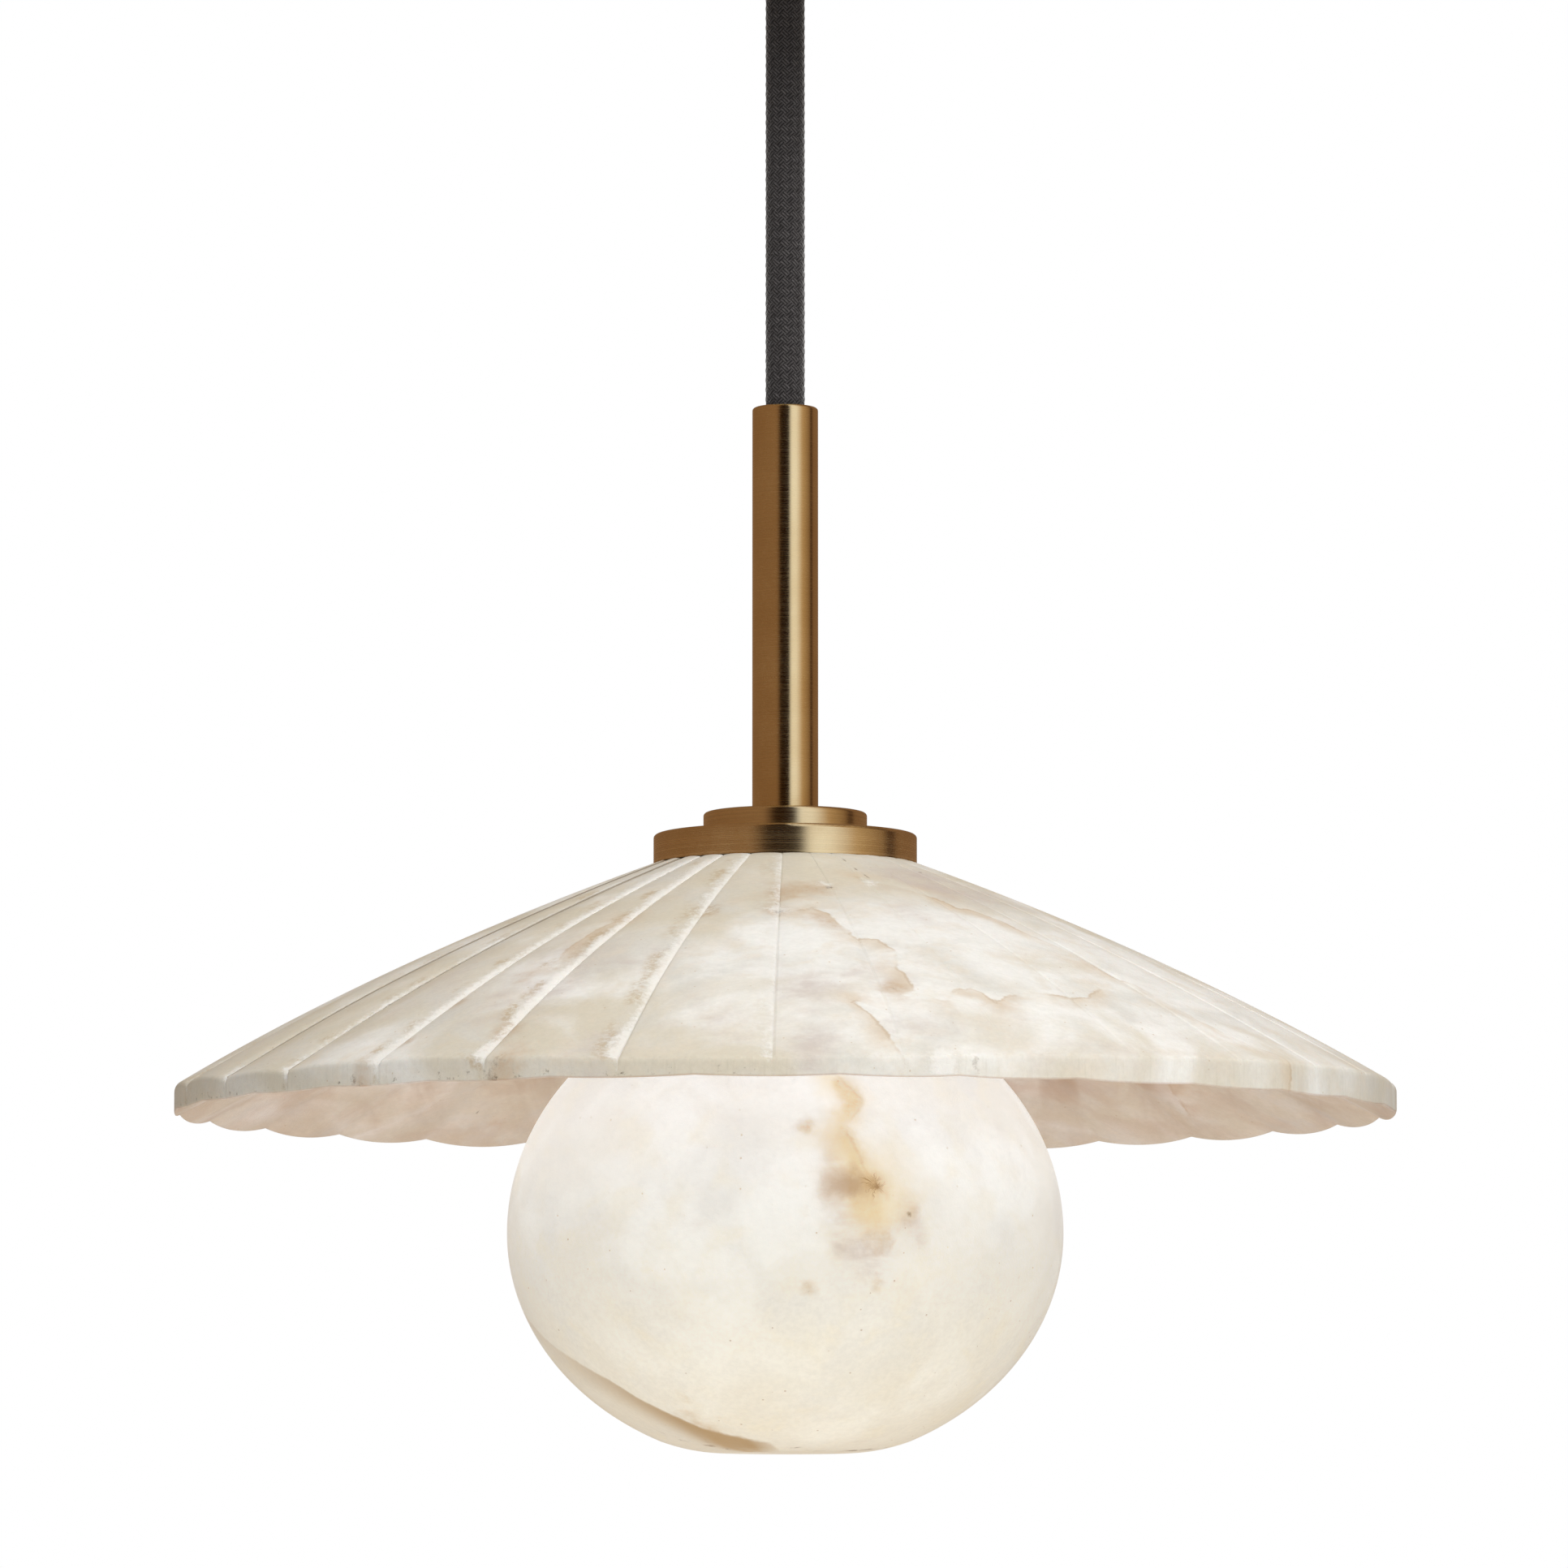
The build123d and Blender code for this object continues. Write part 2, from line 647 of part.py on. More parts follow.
# Globe: turned alabaster bowl, a little flatter below than above, with a flat foot and a seat for the ring nut
globe_radius = globe_diameter / 2
inner_radius = globe_radius - globe_wall
inner_upper_height = globe_upper_height - globe_wall
mouth_angle = share_angle(globe_mouth_flat_diameter / 2, globe_radius)
foot_angle = share_angle(globe_foot_diameter / 2, globe_radius)
seat_radius = ring_nut_radius + hole_gap
seat_angle = share_angle(seat_radius, inner_radius)
z_globe = z_mouth - globe_upper_height * math.sin(math.radians(mouth_angle))
foot_drop = globe_lower_height * math.sin(math.radians(foot_angle))
inner_lower_height = foot_drop - globe_wall
globe_centre = (0, z_globe)
with BuildPart() as globe:
    with BuildSketch(Plane.XZ):
        with BuildLine():
            outer_upper = EllipticalCenterArc(
                globe_centre, globe_radius, globe_upper_height, 0, arc_size=mouth_angle)
            outer_lower = EllipticalCenterArc(
                globe_centre, globe_radius, globe_lower_height, -foot_angle, arc_size=foot_angle)
            inner_lower = EllipticalCenterArc(
                globe_centre, inner_radius, inner_lower_height, -90, arc_size=90)
            inner_upper = EllipticalCenterArc(
                globe_centre, inner_radius, inner_upper_height, 0, arc_size=seat_angle)
            Polyline(
                outer_upper @ 1,
                (collar_radius + hole_gap, z_mouth),
                (collar_radius + hole_gap, z_lip),
                (seat_radius, z_lip),
                inner_upper @ 1,
            )
            Polyline(inner_lower @ 0, (0, z_globe - foot_drop), outer_lower @ 0)
        make_face()
    revolve(axis=Axis.Z)
    foot_edge = globe.edges().filter_by(GeomType.CIRCLE).sort_by(Axis.Z)[0]
    fillet(foot_edge, globe_foot_round)
export(globe, "globe")
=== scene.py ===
"""Alabaster pendant light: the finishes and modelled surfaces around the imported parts.

Metres, +Z up, with the origin on the lamp's axis in the plane of the ceiling. The viewer stands on the -Y
side, and an azimuth is counted in degrees from there, positive towards +X, the viewer's right.
"""

import bpy
import numpy as np
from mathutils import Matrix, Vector


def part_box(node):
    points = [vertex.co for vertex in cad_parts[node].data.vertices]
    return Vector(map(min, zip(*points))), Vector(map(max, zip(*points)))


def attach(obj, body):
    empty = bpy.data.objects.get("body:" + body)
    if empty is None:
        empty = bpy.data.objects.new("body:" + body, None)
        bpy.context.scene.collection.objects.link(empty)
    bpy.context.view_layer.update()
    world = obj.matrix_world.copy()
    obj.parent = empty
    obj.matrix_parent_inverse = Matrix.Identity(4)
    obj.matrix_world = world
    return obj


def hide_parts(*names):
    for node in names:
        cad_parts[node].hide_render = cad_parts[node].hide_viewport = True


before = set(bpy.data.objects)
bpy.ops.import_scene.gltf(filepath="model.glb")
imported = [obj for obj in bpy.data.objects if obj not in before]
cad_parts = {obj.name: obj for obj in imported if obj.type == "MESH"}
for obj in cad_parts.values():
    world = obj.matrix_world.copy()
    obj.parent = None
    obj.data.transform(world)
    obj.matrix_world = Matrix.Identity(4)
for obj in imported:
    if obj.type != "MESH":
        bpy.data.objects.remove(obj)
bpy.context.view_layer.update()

# Canopy and cord grip: spun and turned brass that covers the ceiling box and grips the cord. The brass is
# aged to a brown gold and satin finished on the lathe, so fine rings run round it.


def linear(hex_colour):
    """sRGB hex to linear RGBA: each channel is a power curve with a straight toe."""
    srgb = np.array([int(hex_colour[i:i + 2], 16) for i in (1, 3, 5)]) / 255
    channels = np.where(srgb <= 0.04045, srgb / 12.92, ((srgb + 0.055) / 1.055) ** 2.4)
    return (*channels.tolist(), 1.0)


def output(source):
    """The socket to link from: the first output in use of a node, or else the source itself."""
    if isinstance(source, bpy.types.Node):
        return next(socket for socket in source.outputs if socket.enabled)
    return source


def add(tree, kind, inputs=None, **settings):
    """Add a node: settings are its properties, inputs its sockets' values or what they are linked from."""
    made = tree.nodes.new(kind)
    for name, value in settings.items():
        setattr(made, name, value)
    for name, value in (inputs or {}).items():
        source = output(value)
        if isinstance(source, bpy.types.NodeSocket):
            tree.links.new(source, made.inputs[name])
        else:
            made.inputs[name].default_value = value
    return made


def new_material(name, **sockets):
    """A material with its shader's constant sockets set, with the tree, shader and object coordinates."""
    material = bpy.data.materials.new(name)
    material.use_nodes = True
    tree = material.node_tree
    shader = tree.nodes["Principled BSDF"]
    for socket, value in sockets.items():
        shader.inputs[socket.replace("_", " ")].default_value = value
    coordinates = add(tree, "ShaderNodeTexCoord").outputs["Object"]
    return material, tree, shader, coordinates


def finish_material(tree, shader, colour, rough=None, height=None, strength=0.2, depth_mm=0.1):
    """Link a colour, and where given a roughness and a height of that depth, to the shader."""
    tree.links.new(output(colour), shader.inputs["Base Color"])
    if rough is not None:
        tree.links.new(output(rough), shader.inputs["Roughness"])
    if height is not None:
        depth = depth_mm / 1000
        bump = add(tree, "ShaderNodeBump", {"Strength": strength, "Distance": depth, "Height": height})
        tree.links.new(output(bump), shader.inputs["Normal"])


def dress(material, *nodes):
    """Give CAD nodes one material in place of their own."""
    for name in nodes:
        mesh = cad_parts[name].data
        mesh.materials.clear()
        mesh.materials.append(material)


def turned_brass(name, pale, deep, ring_mm, roughness, grain_pull, streak_depth):
    """Brass from the lathe: rings of noise round the axis roughen it, and slow clouds age its colour."""
    cloud_mm = 14
    material, tree, shader, coordinates = new_material(
        name, Metallic=1.0, Anisotropic=grain_pull, Anisotropic_Rotation=0.25)
    round_axis = add(tree, "ShaderNodeTangent", direction_type="RADIAL", axis="Z")
    tree.links.new(output(round_axis), shader.inputs["Tangent"])
    flat = add(tree, "ShaderNodeVectorMath", {0: coordinates, 1: (1, 1, 0)}, operation="MULTIPLY")
    radius = add(tree, "ShaderNodeVectorMath", {0: flat}, operation="LENGTH")
    height = add(tree, "ShaderNodeSeparateXYZ", {0: coordinates})
    rings = add(tree, "ShaderNodeCombineXYZ", {0: radius, 1: height.outputs["Z"]})
    marks = add(tree, "ShaderNodeTexNoise", {"Vector": rings, "Scale": 1000 / ring_mm, "Detail": 3.0})
    clouds = add(tree, "ShaderNodeTexNoise",
                 {"Vector": coordinates, "Scale": 1000 / cloud_mm, "Detail": 4.0})
    tone = add(tree, "ShaderNodeMapRange", {0: clouds, 1: 0.35, 2: 0.65, 3: 0.0, 4: 0.55})
    aged = add(tree, "ShaderNodeMix", {0: tone, 6: linear(pale), 7: linear(deep)}, data_type="RGBA")
    streak = add(tree, "ShaderNodeMapRange", {0: marks, 1: 0.3, 2: 0.7, 3: 1.05 - streak_depth, 4: 1.05})
    colour = add(tree, "ShaderNodeMix", {0: 1.0, 6: aged, 7: streak},
                 data_type="RGBA", blend_type="MULTIPLY")
    rough = add(tree, "ShaderNodeMapRange", {0: marks, 1: 0.3, 2: 0.7,
                                             3: roughness - 0.05, 4: roughness + 0.07})
    finish_material(tree, shader, colour, rough, marks, strength=0.03)
    return material


# Satin brass has a soft sheen, drawn out across its fine lathe rings. They are about 0.1 mm wide on the real
# part and are drawn 0.3 mm wide, so that they show.
satin_brass = turned_brass("aged satin brass", "#E8D5AC", "#D8BE90",
                           ring_mm=0.3, roughness=0.26, grain_pull=0.88, streak_depth=0.12)
dress(satin_brass, "canopy", "canopy_nuts", "grip_body", "grip_cap")

# Inside the canopy: a zinc-plated steel strap with its studs and nut, a brass ground screw, a rubber bush
# round the cord, and the cord's own wires run into two moulded connectors.


def plated_steel(name):
    """Zinc plating: cells a couple of millimetres wide, each a slightly different grey, under fine grain."""
    cell_mm = 2.2
    grain_mm = 0.5
    material, tree, shader, coordinates = new_material(name, Metallic=1.0)
    cells = add(tree, "ShaderNodeTexVoronoi", {"Vector": coordinates, "Scale": 1000 / cell_mm})
    grain = add(tree, "ShaderNodeTexNoise", {"Vector": coordinates, "Scale": 1000 / grain_mm, "Detail": 3.0})
    tone = add(tree, "ShaderNodeSeparateColor", {0: cells.outputs["Color"]})
    colour = add(tree, "ShaderNodeMix", {0: tone, 6: linear("#B9BCBE"), 7: linear("#8F9396")},
                 data_type="RGBA")
    rough = add(tree, "ShaderNodeMapRange", {0: grain, 1: 0.3, 2: 0.7, 3: 0.3, 4: 0.5})
    finish_material(tree, shader, colour, rough, grain, strength=0.1)
    return material


def mottled(name, pale, deep, grain_mm, roughness, strength, **sockets):
    """A matt material of two close tones, mixed by noise of one grain size that also roughens and raises it.

    Its roughness runs between two values, and strength is that of the raised grain.
    """
    material, tree, shader, coordinates = new_material(name, **sockets)
    grain = add(tree, "ShaderNodeTexNoise", {"Vector": coordinates, "Scale": 1000 / grain_mm, "Detail": 5.0})
    mix = add(tree, "ShaderNodeMapRange", {0: grain, 1: 0.3, 2: 0.7})
    colour = add(tree, "ShaderNodeMix", {0: mix, 6: linear(pale), 7: linear(deep)}, data_type="RGBA")
    rough = add(tree, "ShaderNodeMapRange", {0: grain, 1: 0.3, 2: 0.7, 3: roughness[0], 4: roughness[1]})
    finish_material(tree, shader, colour, rough, grain, strength=strength)
    return material


# Zinc plating is a cool grey with a faint spangle. Machined brass is yellower than the aged, with a sharper
# sheen. Its fine rings are drawn 0.5 mm wide so that they show.
zinc_steel = plated_steel("zinc-plated steel")
bright_brass = turned_brass("machined brass", "#D8B978", "#B98E4E",
                            ring_mm=0.5, roughness=0.22, grain_pull=0.4, streak_depth=0.1)
# Rubber is a dull black, the wires' sleeves have a low shine, and the connectors a waxy one.
black_rubber = mottled("moulded black rubber", "#1E1D1D", "#121212",
                       grain_mm=0.8, roughness=(0.6, 0.8), strength=0.25)
wire_sleeve = mottled("extruded black PVC", "#2A2829", "#171717",
                      grain_mm=1.5, roughness=(0.35, 0.5), strength=0.08)
earth_sleeve = mottled("extruded green PVC", "#3F8A3C", "#8FA53A",
                       grain_mm=3.0, roughness=(0.35, 0.5), strength=0.08)
connector_plastic = mottled("moulded orange polypropylene", "#D9782B", "#C4641D",
                            grain_mm=0.9, roughness=(0.4, 0.55), strength=0.15)
dress(zinc_steel, "crossbar", "canopy_studs", "grip_nut")
dress(bright_brass, "ground_screw")
dress(black_rubber, "grip_bushing")
dress(wire_sleeve, "supply_leads")
dress(earth_sleeve, "earth_lead")
dress(connector_plastic, "wire_connectors")

# Cord: charcoal cotton braided over the wires, hanging straight from the grip into the stem. Bundles of a
# few threads cross one another on the slant, each one crowned where it lies on top.
cord_diameter = 0.0098
cord_top = -0.039
cord_foot = -0.151
bundles = 12
bundle_pitch = 0.0024
bundle_rise = 0.00013
cord_columns = bundles * 10
cord_steps = 410


def surface(name, points, closed=False, poles=False):
    """Mesh over a grid of points, rows by columns, whose columns join up into rings.

    With closed the last row joins the first, and with poles the two end rings are filled to their middle
    points.
    """
    rows, columns = points.shape[:2]
    index = np.arange(rows * columns).reshape(rows, columns)
    corners = points.reshape(-1, 3)
    if closed:
        index = np.vstack([index, index[:1]])
    beside = np.roll(index, -1, axis=1)
    faces = np.stack([index[:-1], index[1:], beside[1:], beside[:-1]], axis=-1).reshape(-1, 4).tolist()
    if poles:
        first, last = np.full(columns, len(corners)), np.full(columns, len(corners) + 1)
        corners = np.vstack([corners, points[0].mean(axis=0), points[-1].mean(axis=0)])
        faces += np.stack([first, index[0], beside[0]], axis=-1).tolist()
        faces += np.stack([last, beside[-1], index[-1]], axis=-1).tolist()
    mesh = bpy.data.meshes.new(name)
    mesh.from_pydata(corners.tolist(), [], faces)
    mesh.shade_smooth()
    made = bpy.data.objects.new(name, mesh)
    bpy.context.collection.objects.link(made)
    return made


def spline_points(name, route, steps):
    """Points along a smooth spline of third order, with the route as its control points, from end to end."""
    line = bpy.data.curves.new(name, "CURVE")
    line.dimensions = "3D"
    line.resolution_u = steps
    spline = line.splines.new("NURBS")
    spline.points.add(len(route) - 1)
    spline.points.foreach_set("co", np.column_stack([route, np.ones(len(route))]).ravel())
    spline.order_u = 3
    spline.use_endpoint_u = True
    carrier = bpy.data.objects.new(name, line)
    mesh = bpy.data.meshes.new_from_object(carrier)
    points = np.empty(len(mesh.vertices) * 3)
    mesh.vertices.foreach_get("co", points)
    bpy.data.objects.remove(carrier)
    bpy.data.meshes.remove(mesh)
    bpy.data.curves.remove(line)
    return points.reshape(-1, 3)


def braided_tube(name, path):
    """Rings round a hanging path, raised into lozenges: the product of two sine waves, one on each slant."""
    turn = np.arange(cord_columns) / cord_columns
    along = np.linalg.norm(path - path[0], axis=1)[:, None]
    one_slant = bundles * turn + along / bundle_pitch
    other_slant = bundles * turn - along / bundle_pitch
    lozenge = np.abs(np.sin(np.pi * one_slant) * np.sin(np.pi * other_slant))
    radius = cord_diameter / 2 - bundle_rise * (1 - lozenge)
    angle = 2 * np.pi * turn
    ring = np.stack([np.cos(angle) * radius, np.sin(angle) * radius, np.zeros_like(radius)], axis=-1)
    tube = surface(name, path[:, None, :] + ring, poles=True)
    column = np.repeat(np.arange(cord_columns)[None, :], len(path) - 1, axis=0)
    u = column[..., None] + np.array([0, 0, 1, 1])
    v = np.stack([along[:-1], along[1:], along[1:], along[:-1]], axis=-1) + np.zeros((1, cord_columns, 1))
    corners = np.zeros((len(tube.data.loops), 2))
    corners[:u.size] = np.stack([u.ravel() / cord_columns * bundles, v.ravel() / bundle_pitch], axis=-1)
    tube.data.uv_layers.new(name="braid").uv.foreach_set("vector", corners.ravel())
    return tube


def braided_cotton(name, threads):
    """Basket braid on the braid map: in turn one slant and the other lies on top and shows its threads."""
    lint_mm = 0.7
    material, tree, shader, coordinates = new_material(
        name, Sheen_Weight=1.0, Sheen_Roughness=0.3, Specular_IOR_Level=0.2)
    place = add(tree, "ShaderNodeSeparateXYZ", {0: add(tree, "ShaderNodeUVMap", uv_map="braid")})
    one = add(tree, "ShaderNodeMath", {0: place.outputs["X"], 1: place.outputs["Y"]}, operation="ADD")
    other = add(tree, "ShaderNodeMath", {0: place.outputs["X"], 1: place.outputs["Y"]}, operation="SUBTRACT")
    one_step = add(tree, "ShaderNodeMath", {0: one}, operation="FLOOR")
    other_step = add(tree, "ShaderNodeMath", {0: other}, operation="FLOOR")
    steps = add(tree, "ShaderNodeMath", {0: one_step, 1: other_step}, operation="ADD")
    turn = add(tree, "ShaderNodeMath", {0: steps, 1: 2.0}, operation="FLOORED_MODULO")
    shown = add(tree, "ShaderNodeMix", {0: turn, 2: one, 3: other})
    thread = add(tree, "ShaderNodeMath", {0: shown, 1: 1 / threads}, operation="PINGPONG")
    crown = add(tree, "ShaderNodeMapRange", {0: thread, 1: 0.0, 2: 0.7 / threads})
    lint = add(tree, "ShaderNodeTexNoise", {"Vector": coordinates, "Scale": 1000 / lint_mm, "Detail": 4.0})
    # Painted shade: the tone is darkest in the gaps between threads and lightest on their crowns.
    lit = add(tree, "ShaderNodeMath", {0: crown, 1: lint}, operation="MULTIPLY")
    # Painted light: one slant of bundles is a quarter darker than the other, as if lit from one side.
    painted_slant_shade = add(tree, "ShaderNodeMapRange", {0: turn, 3: 0.75, 4: 1.0})
    tone = add(tree, "ShaderNodeMath", {0: lit, 1: painted_slant_shade}, operation="MULTIPLY")
    colour = add(tree, "ShaderNodeMix", {0: tone, 6: linear("#0A090A"), 7: linear("#706C6C")},
                 data_type="RGBA")
    rough = add(tree, "ShaderNodeMapRange", {0: lint, 1: 0.3, 2: 0.7, 3: 0.75, 4: 0.95})
    finish_material(tree, shader, colour, rough, crown, strength=0.6, depth_mm=0.12)
    return material


# A middle point six diameters from the grip keeps the cord straight, as a taut cord hangs.
cord_route = [(0, 0, cord_top), (0, 0, cord_top - 6 * cord_diameter), (0, 0, cord_foot)]
cord_path = spline_points("cord_route", cord_route, cord_steps)
cord = braided_tube("braided_cord", cord_path)
# Cotton is matt, with a pale lint where it turns away. Its threads are about 0.25 mm wide, and five to a
# bundle, about 0.5 mm wide, are drawn, so that they show.
charcoal_cotton = braided_cotton("braided charcoal cotton", threads=5)
cord.data.materials.append(charcoal_cotton)
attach(cord, "cord")
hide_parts("cord")
# Inside the canopy the cord's cut end is greyer and quite matt.
cut_cotton = mottled("cut charcoal cotton", "#4A4748", "#2A282A",
                     grain_mm=0.7, roughness=(0.8, 0.95), strength=0.4)
dress(cut_cotton, "cord_tail")

# Stem: turned brass tube that carries the lamp, satin finished like the canopy and threaded at its foot for
# the rod through the shade. The cord's anchor and the lamp's wires are inside it.
dress(satin_brass, "stem")
dress(bright_brass, "cord_anchor")
dress(wire_sleeve, "lamp_leads")

# Caps: two turned brass discs on the rod below the stem, which press the shade down on its washers. They
# are brushed on the lathe, so their rings are coarser and more streaked than the stem's.
# Fine brushed rings are drawn 0.4 mm wide so that they show.
brushed_brass = turned_brass("aged brushed brass", "#F0DFB9", "#DCC092",
                             ring_mm=0.4, roughness=0.26, grain_pull=0.8, streak_depth=0.26)
dress(brushed_brass, "upper_cap", "lower_cap")

# Shade: a shallow cone carved from one block of alabaster, 8 to 9 mm thick. Thirty flutes run down the top,
# parted by chiselled grooves, and thirty more, half a flute on, run down the underside. The edge is sawn.
shade_low, shade_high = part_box("shade")
crown_height = float(shade_high.z)
rim_height = float(shade_low.z)
shade_radius = 0.150
crown_radius = float(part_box("lower_cap")[1].x)
hole_radius = 0.0054
shade_drop = 0.0548
shade_bulge = 0.0026
under_crown_radius = 0.0266
crown_thickness = 0.009
arris_round = 0.0011
foot_edge_round = 0.0008
flutes = 30
flute_columns = 24
column_crowding = 0.7
flute_pitch = 2 * np.pi / flutes
groove_depth = 0.0027
groove_notch = 0.002
bevel_share = 0.10
chip_share = 0.09
chisel_share = 0.022
scallop_depth = 0.0015
scallop_lost_near = 0.7
first_groove = -75.3
edge_wander = 0.00011
top_rows = 64
arris_rows = 5
band_rows = 8
foot_edge_rows = 4
under_rows = 44
# Both faces stop just short of the edge, at these shares of their length, and its rounding takes over.
top_end = 0.991
under_end = 0.993
# The sawn edge sags in front, on the left and at both sides, where the block was uneven: depth, and azimuth
# and spread in degrees.
edge_sags = [(0.0031, 0, 34), (0.0014, -55, 22), (0.0012, -90, 16), (0.0012, 90, 16)]
# Carved by hand, the grooves stray by a degree or two and are deeper on the left: azimuth and shift in
# degrees, and shares of the usual depth and bruise.
# The depth's square also sets how dark the painted shade in each groove is, and the bruise share how bright
# the bruise and its painted highlight are.
carving = np.array([
    (-87, 0.6, 1.5, 0.5), (-75, 0.9, 1.6, 0.7), (-63, 0.7, 1.5, 0.7), (-51, 0.0, 1.3, 0.8),
    (-39, 0.3, 1.0, 1.1), (-27, -0.2, 0.8, 1.0), (-15, 0.5, 0.6, 0.8), (-3, 2.2, 0.4, 0.5),
    (9, 1.8, 0.2, 0.2), (21, -0.4, 0.15, 0.1), (45, 0.5, 0.2, 0.1), (69, -0.6, 0.3, 0.1),
    (93, 0.3, 0.7, 0.3), (129, 0.9, 1.0, 0.6), (165, -0.7, 0.9, 0.7), (201, 0.6, 1.0, 0.5),
    (237, -0.8, 1.0, 0.6),
]).T


def around(azimuth):
    """Unit vectors, level, that point towards an azimuth in degrees."""
    angle = np.radians(azimuth)
    return np.stack([np.sin(angle), -np.cos(angle), np.zeros_like(angle)], axis=-1)


def crowned_line(inner, outer, share):
    """Radius and height on the line between two points of the section, bulged outwards as a parabola."""
    run, fall = outer[0] - inner[0], inner[1] - outer[1]
    bulge = 4 * shade_bulge * share * (1 - share) / np.hypot(run, fall)
    return inner[0] + run * share + bulge * fall, inner[1] - fall * share + bulge * run


def rounded(start, corner, end, steps):
    """Curve of second order from a start to an end, pulled towards a corner: the first point is left out."""
    share = np.linspace(0, 1, steps + 1)[1:, None, None]
    return (1 - share) ** 2 * start + 2 * share * (1 - share) * corner + share ** 2 * end


def groove_drop(across, share):
    """How far a flute has fallen at a place across it, 1 in the groove: steep on its left, bevelled right.

    Four tenths are a parabola across the flute, four tenths a power curve over the bevel, which widens
    towards the edge, and two tenths the chisel's cut, which dies away on both sides and at the edge.
    """
    bevel = np.clip(1 - (1 - across) / (bevel_share + chip_share * share ** 8), 0, 1) ** 1.9
    chisel = np.exp(-np.minimum(across, 1 - across) / chisel_share) * (1 - share ** 10)
    return 0.4 * (2 * across - 1) ** 2 + 0.4 * np.where(across == 0, 1.0, bevel) + 0.2 * chisel


def fluted_shade():
    """Section of the shade at each azimuth, from the hole round the edge and back: (row, column, size).

    The size is a radius and a height. Columns crowd at the grooves: a column's share of its flute, less a
    sine. Grooves deepen with a power of the radius and lose half at the very edge. Their notch in the edge
    and its sags, which are bell curves, come in by high powers of the way there. The edge wanders by six
    sine waves of two to eight turns.
    """
    step = np.arange(flutes * flute_columns) / flute_columns
    across = step % 1 - column_crowding * np.sin(2 * np.pi * step) / (2 * np.pi)
    across[::flute_columns] = 0
    nominal = first_groove + (np.floor(step) + across) * 360 / flutes
    shift, cut = (np.interp(nominal, carving[0], carving[i], period=360) for i in (1, 2))
    azimuth = nominal + shift
    # The scallops are shallow on the near half and full behind.
    near = 0.5 + 0.5 * np.tanh(6 * np.cos(np.radians(azimuth)))
    scallop = (2 * ((across + 0.5) % 1) - 1) ** 2 * (1 - scallop_lost_near * near)
    bearing = (azimuth + 180) % 360 - 180
    sag = sum(deep * np.exp(-((bearing - middle) / spread) ** 2) for deep, middle, spread in edge_sags)
    chance = np.random.default_rng(7)
    waves = chance.integers(2, 9, 6)[:, None] * np.radians(azimuth) + chance.uniform(0, 6.28, 6)[:, None]
    wander = edge_wander * np.sin(waves).sum(axis=0)

    edge = (shade_radius, crown_height - shade_drop)
    share = np.linspace(0, 1, top_rows)[:, None] ** 0.9
    radius, height = crowned_line((crown_radius, crown_height), edge, share * top_end)
    drop = groove_drop(across, share) * cut
    depth = groove_depth * (radius / shade_radius) ** 0.8 * (1 - 0.5 * share ** 10)
    top = np.stack([radius * (1 - groove_notch * drop * share ** 4),
                    height - depth * drop - (sag - wander) * share ** 5], axis=-1)
    crown_rings = np.array([[hole_radius], [0.5 * crown_radius]]) + 0 * azimuth
    crown_drop = depth[0] * drop[:1] * np.array([[0], [0.4]])
    crown = np.stack([crown_rings, crown_height - crown_drop], axis=-1)

    wall = shade_radius * (1 - groove_notch * drop[-1])
    arris = np.stack([wall, edge[1] - depth[-1] * drop[-1] - sag + wander], axis=-1)
    foot = np.stack([wall, rim_height + scallop_depth * scallop], axis=-1)
    below_arris = arris - (0, arris_round)
    above_foot = foot + (0, foot_edge_round)
    top_round = rounded(top[-1], arris, below_arris, arris_rows)
    band = below_arris + (above_foot - below_arris) * np.linspace(0, 1, band_rows + 1)[1:, None, None]

    inside = (under_crown_radius, crown_height - crown_thickness)
    share = np.linspace(1, 0, under_rows)[:, None]
    radius, height = crowned_line(inside, (shade_radius, rim_height), share * under_end)
    lift = scallop_depth * scallop * (radius / shade_radius)
    underside = np.stack([radius - (shade_radius - wall) * share ** 4, height + lift], axis=-1)
    foot_round = rounded(above_foot, foot, underside[0], foot_edge_rows)
    inner_rings = np.array([[0.5 * under_crown_radius], [hole_radius]]) + 0 * azimuth
    under_crown = np.stack([inner_rings, np.full_like(inner_rings, crown_height - crown_thickness)], axis=-1)

    section = np.concatenate([crown, top, top_round, band, foot_round, underside[1:], under_crown])
    # Rows by face: 0 on the top, 1 on the sawn edge, 2 on the underside.
    rows = [len(crown) + len(top), len(top_round) + len(band),
            len(foot_round) + len(underside) - 1 + len(under_crown)]
    return section, azimuth, across, np.repeat([0, 1, 2], rows)[:, None]


section, azimuth, across, face = fluted_shade()
shade_points = section[..., :1] * around(azimuth) + section[..., 1:] * np.array([0, 0, 1])
shade = surface("carved_shade", shade_points, closed=True)


def mark(piece, name, values):
    """Keep one number at each of a piece's points, for its material to read: end points repeat the last."""
    numbers = np.pad(np.ravel(values), (0, len(piece.data.vertices) - np.size(values)), mode="edge")
    piece.data.attributes.new(name, "FLOAT", "POINT").data.foreach_set("value", numbers)


def line_distance(points, line):
    """Distance of each point from a broken line, whose stretches are each tried in turn."""
    nearest = np.full(points.shape[:-1], np.inf)
    for start, end in zip(line[:-1], line[1:]):
        run = end - start
        share = np.clip(((points - start) @ run) / (run @ run), 0, 1)
        nearest = np.minimum(nearest, np.linalg.norm(points - start - share[..., None] * run, axis=-1))
    return nearest


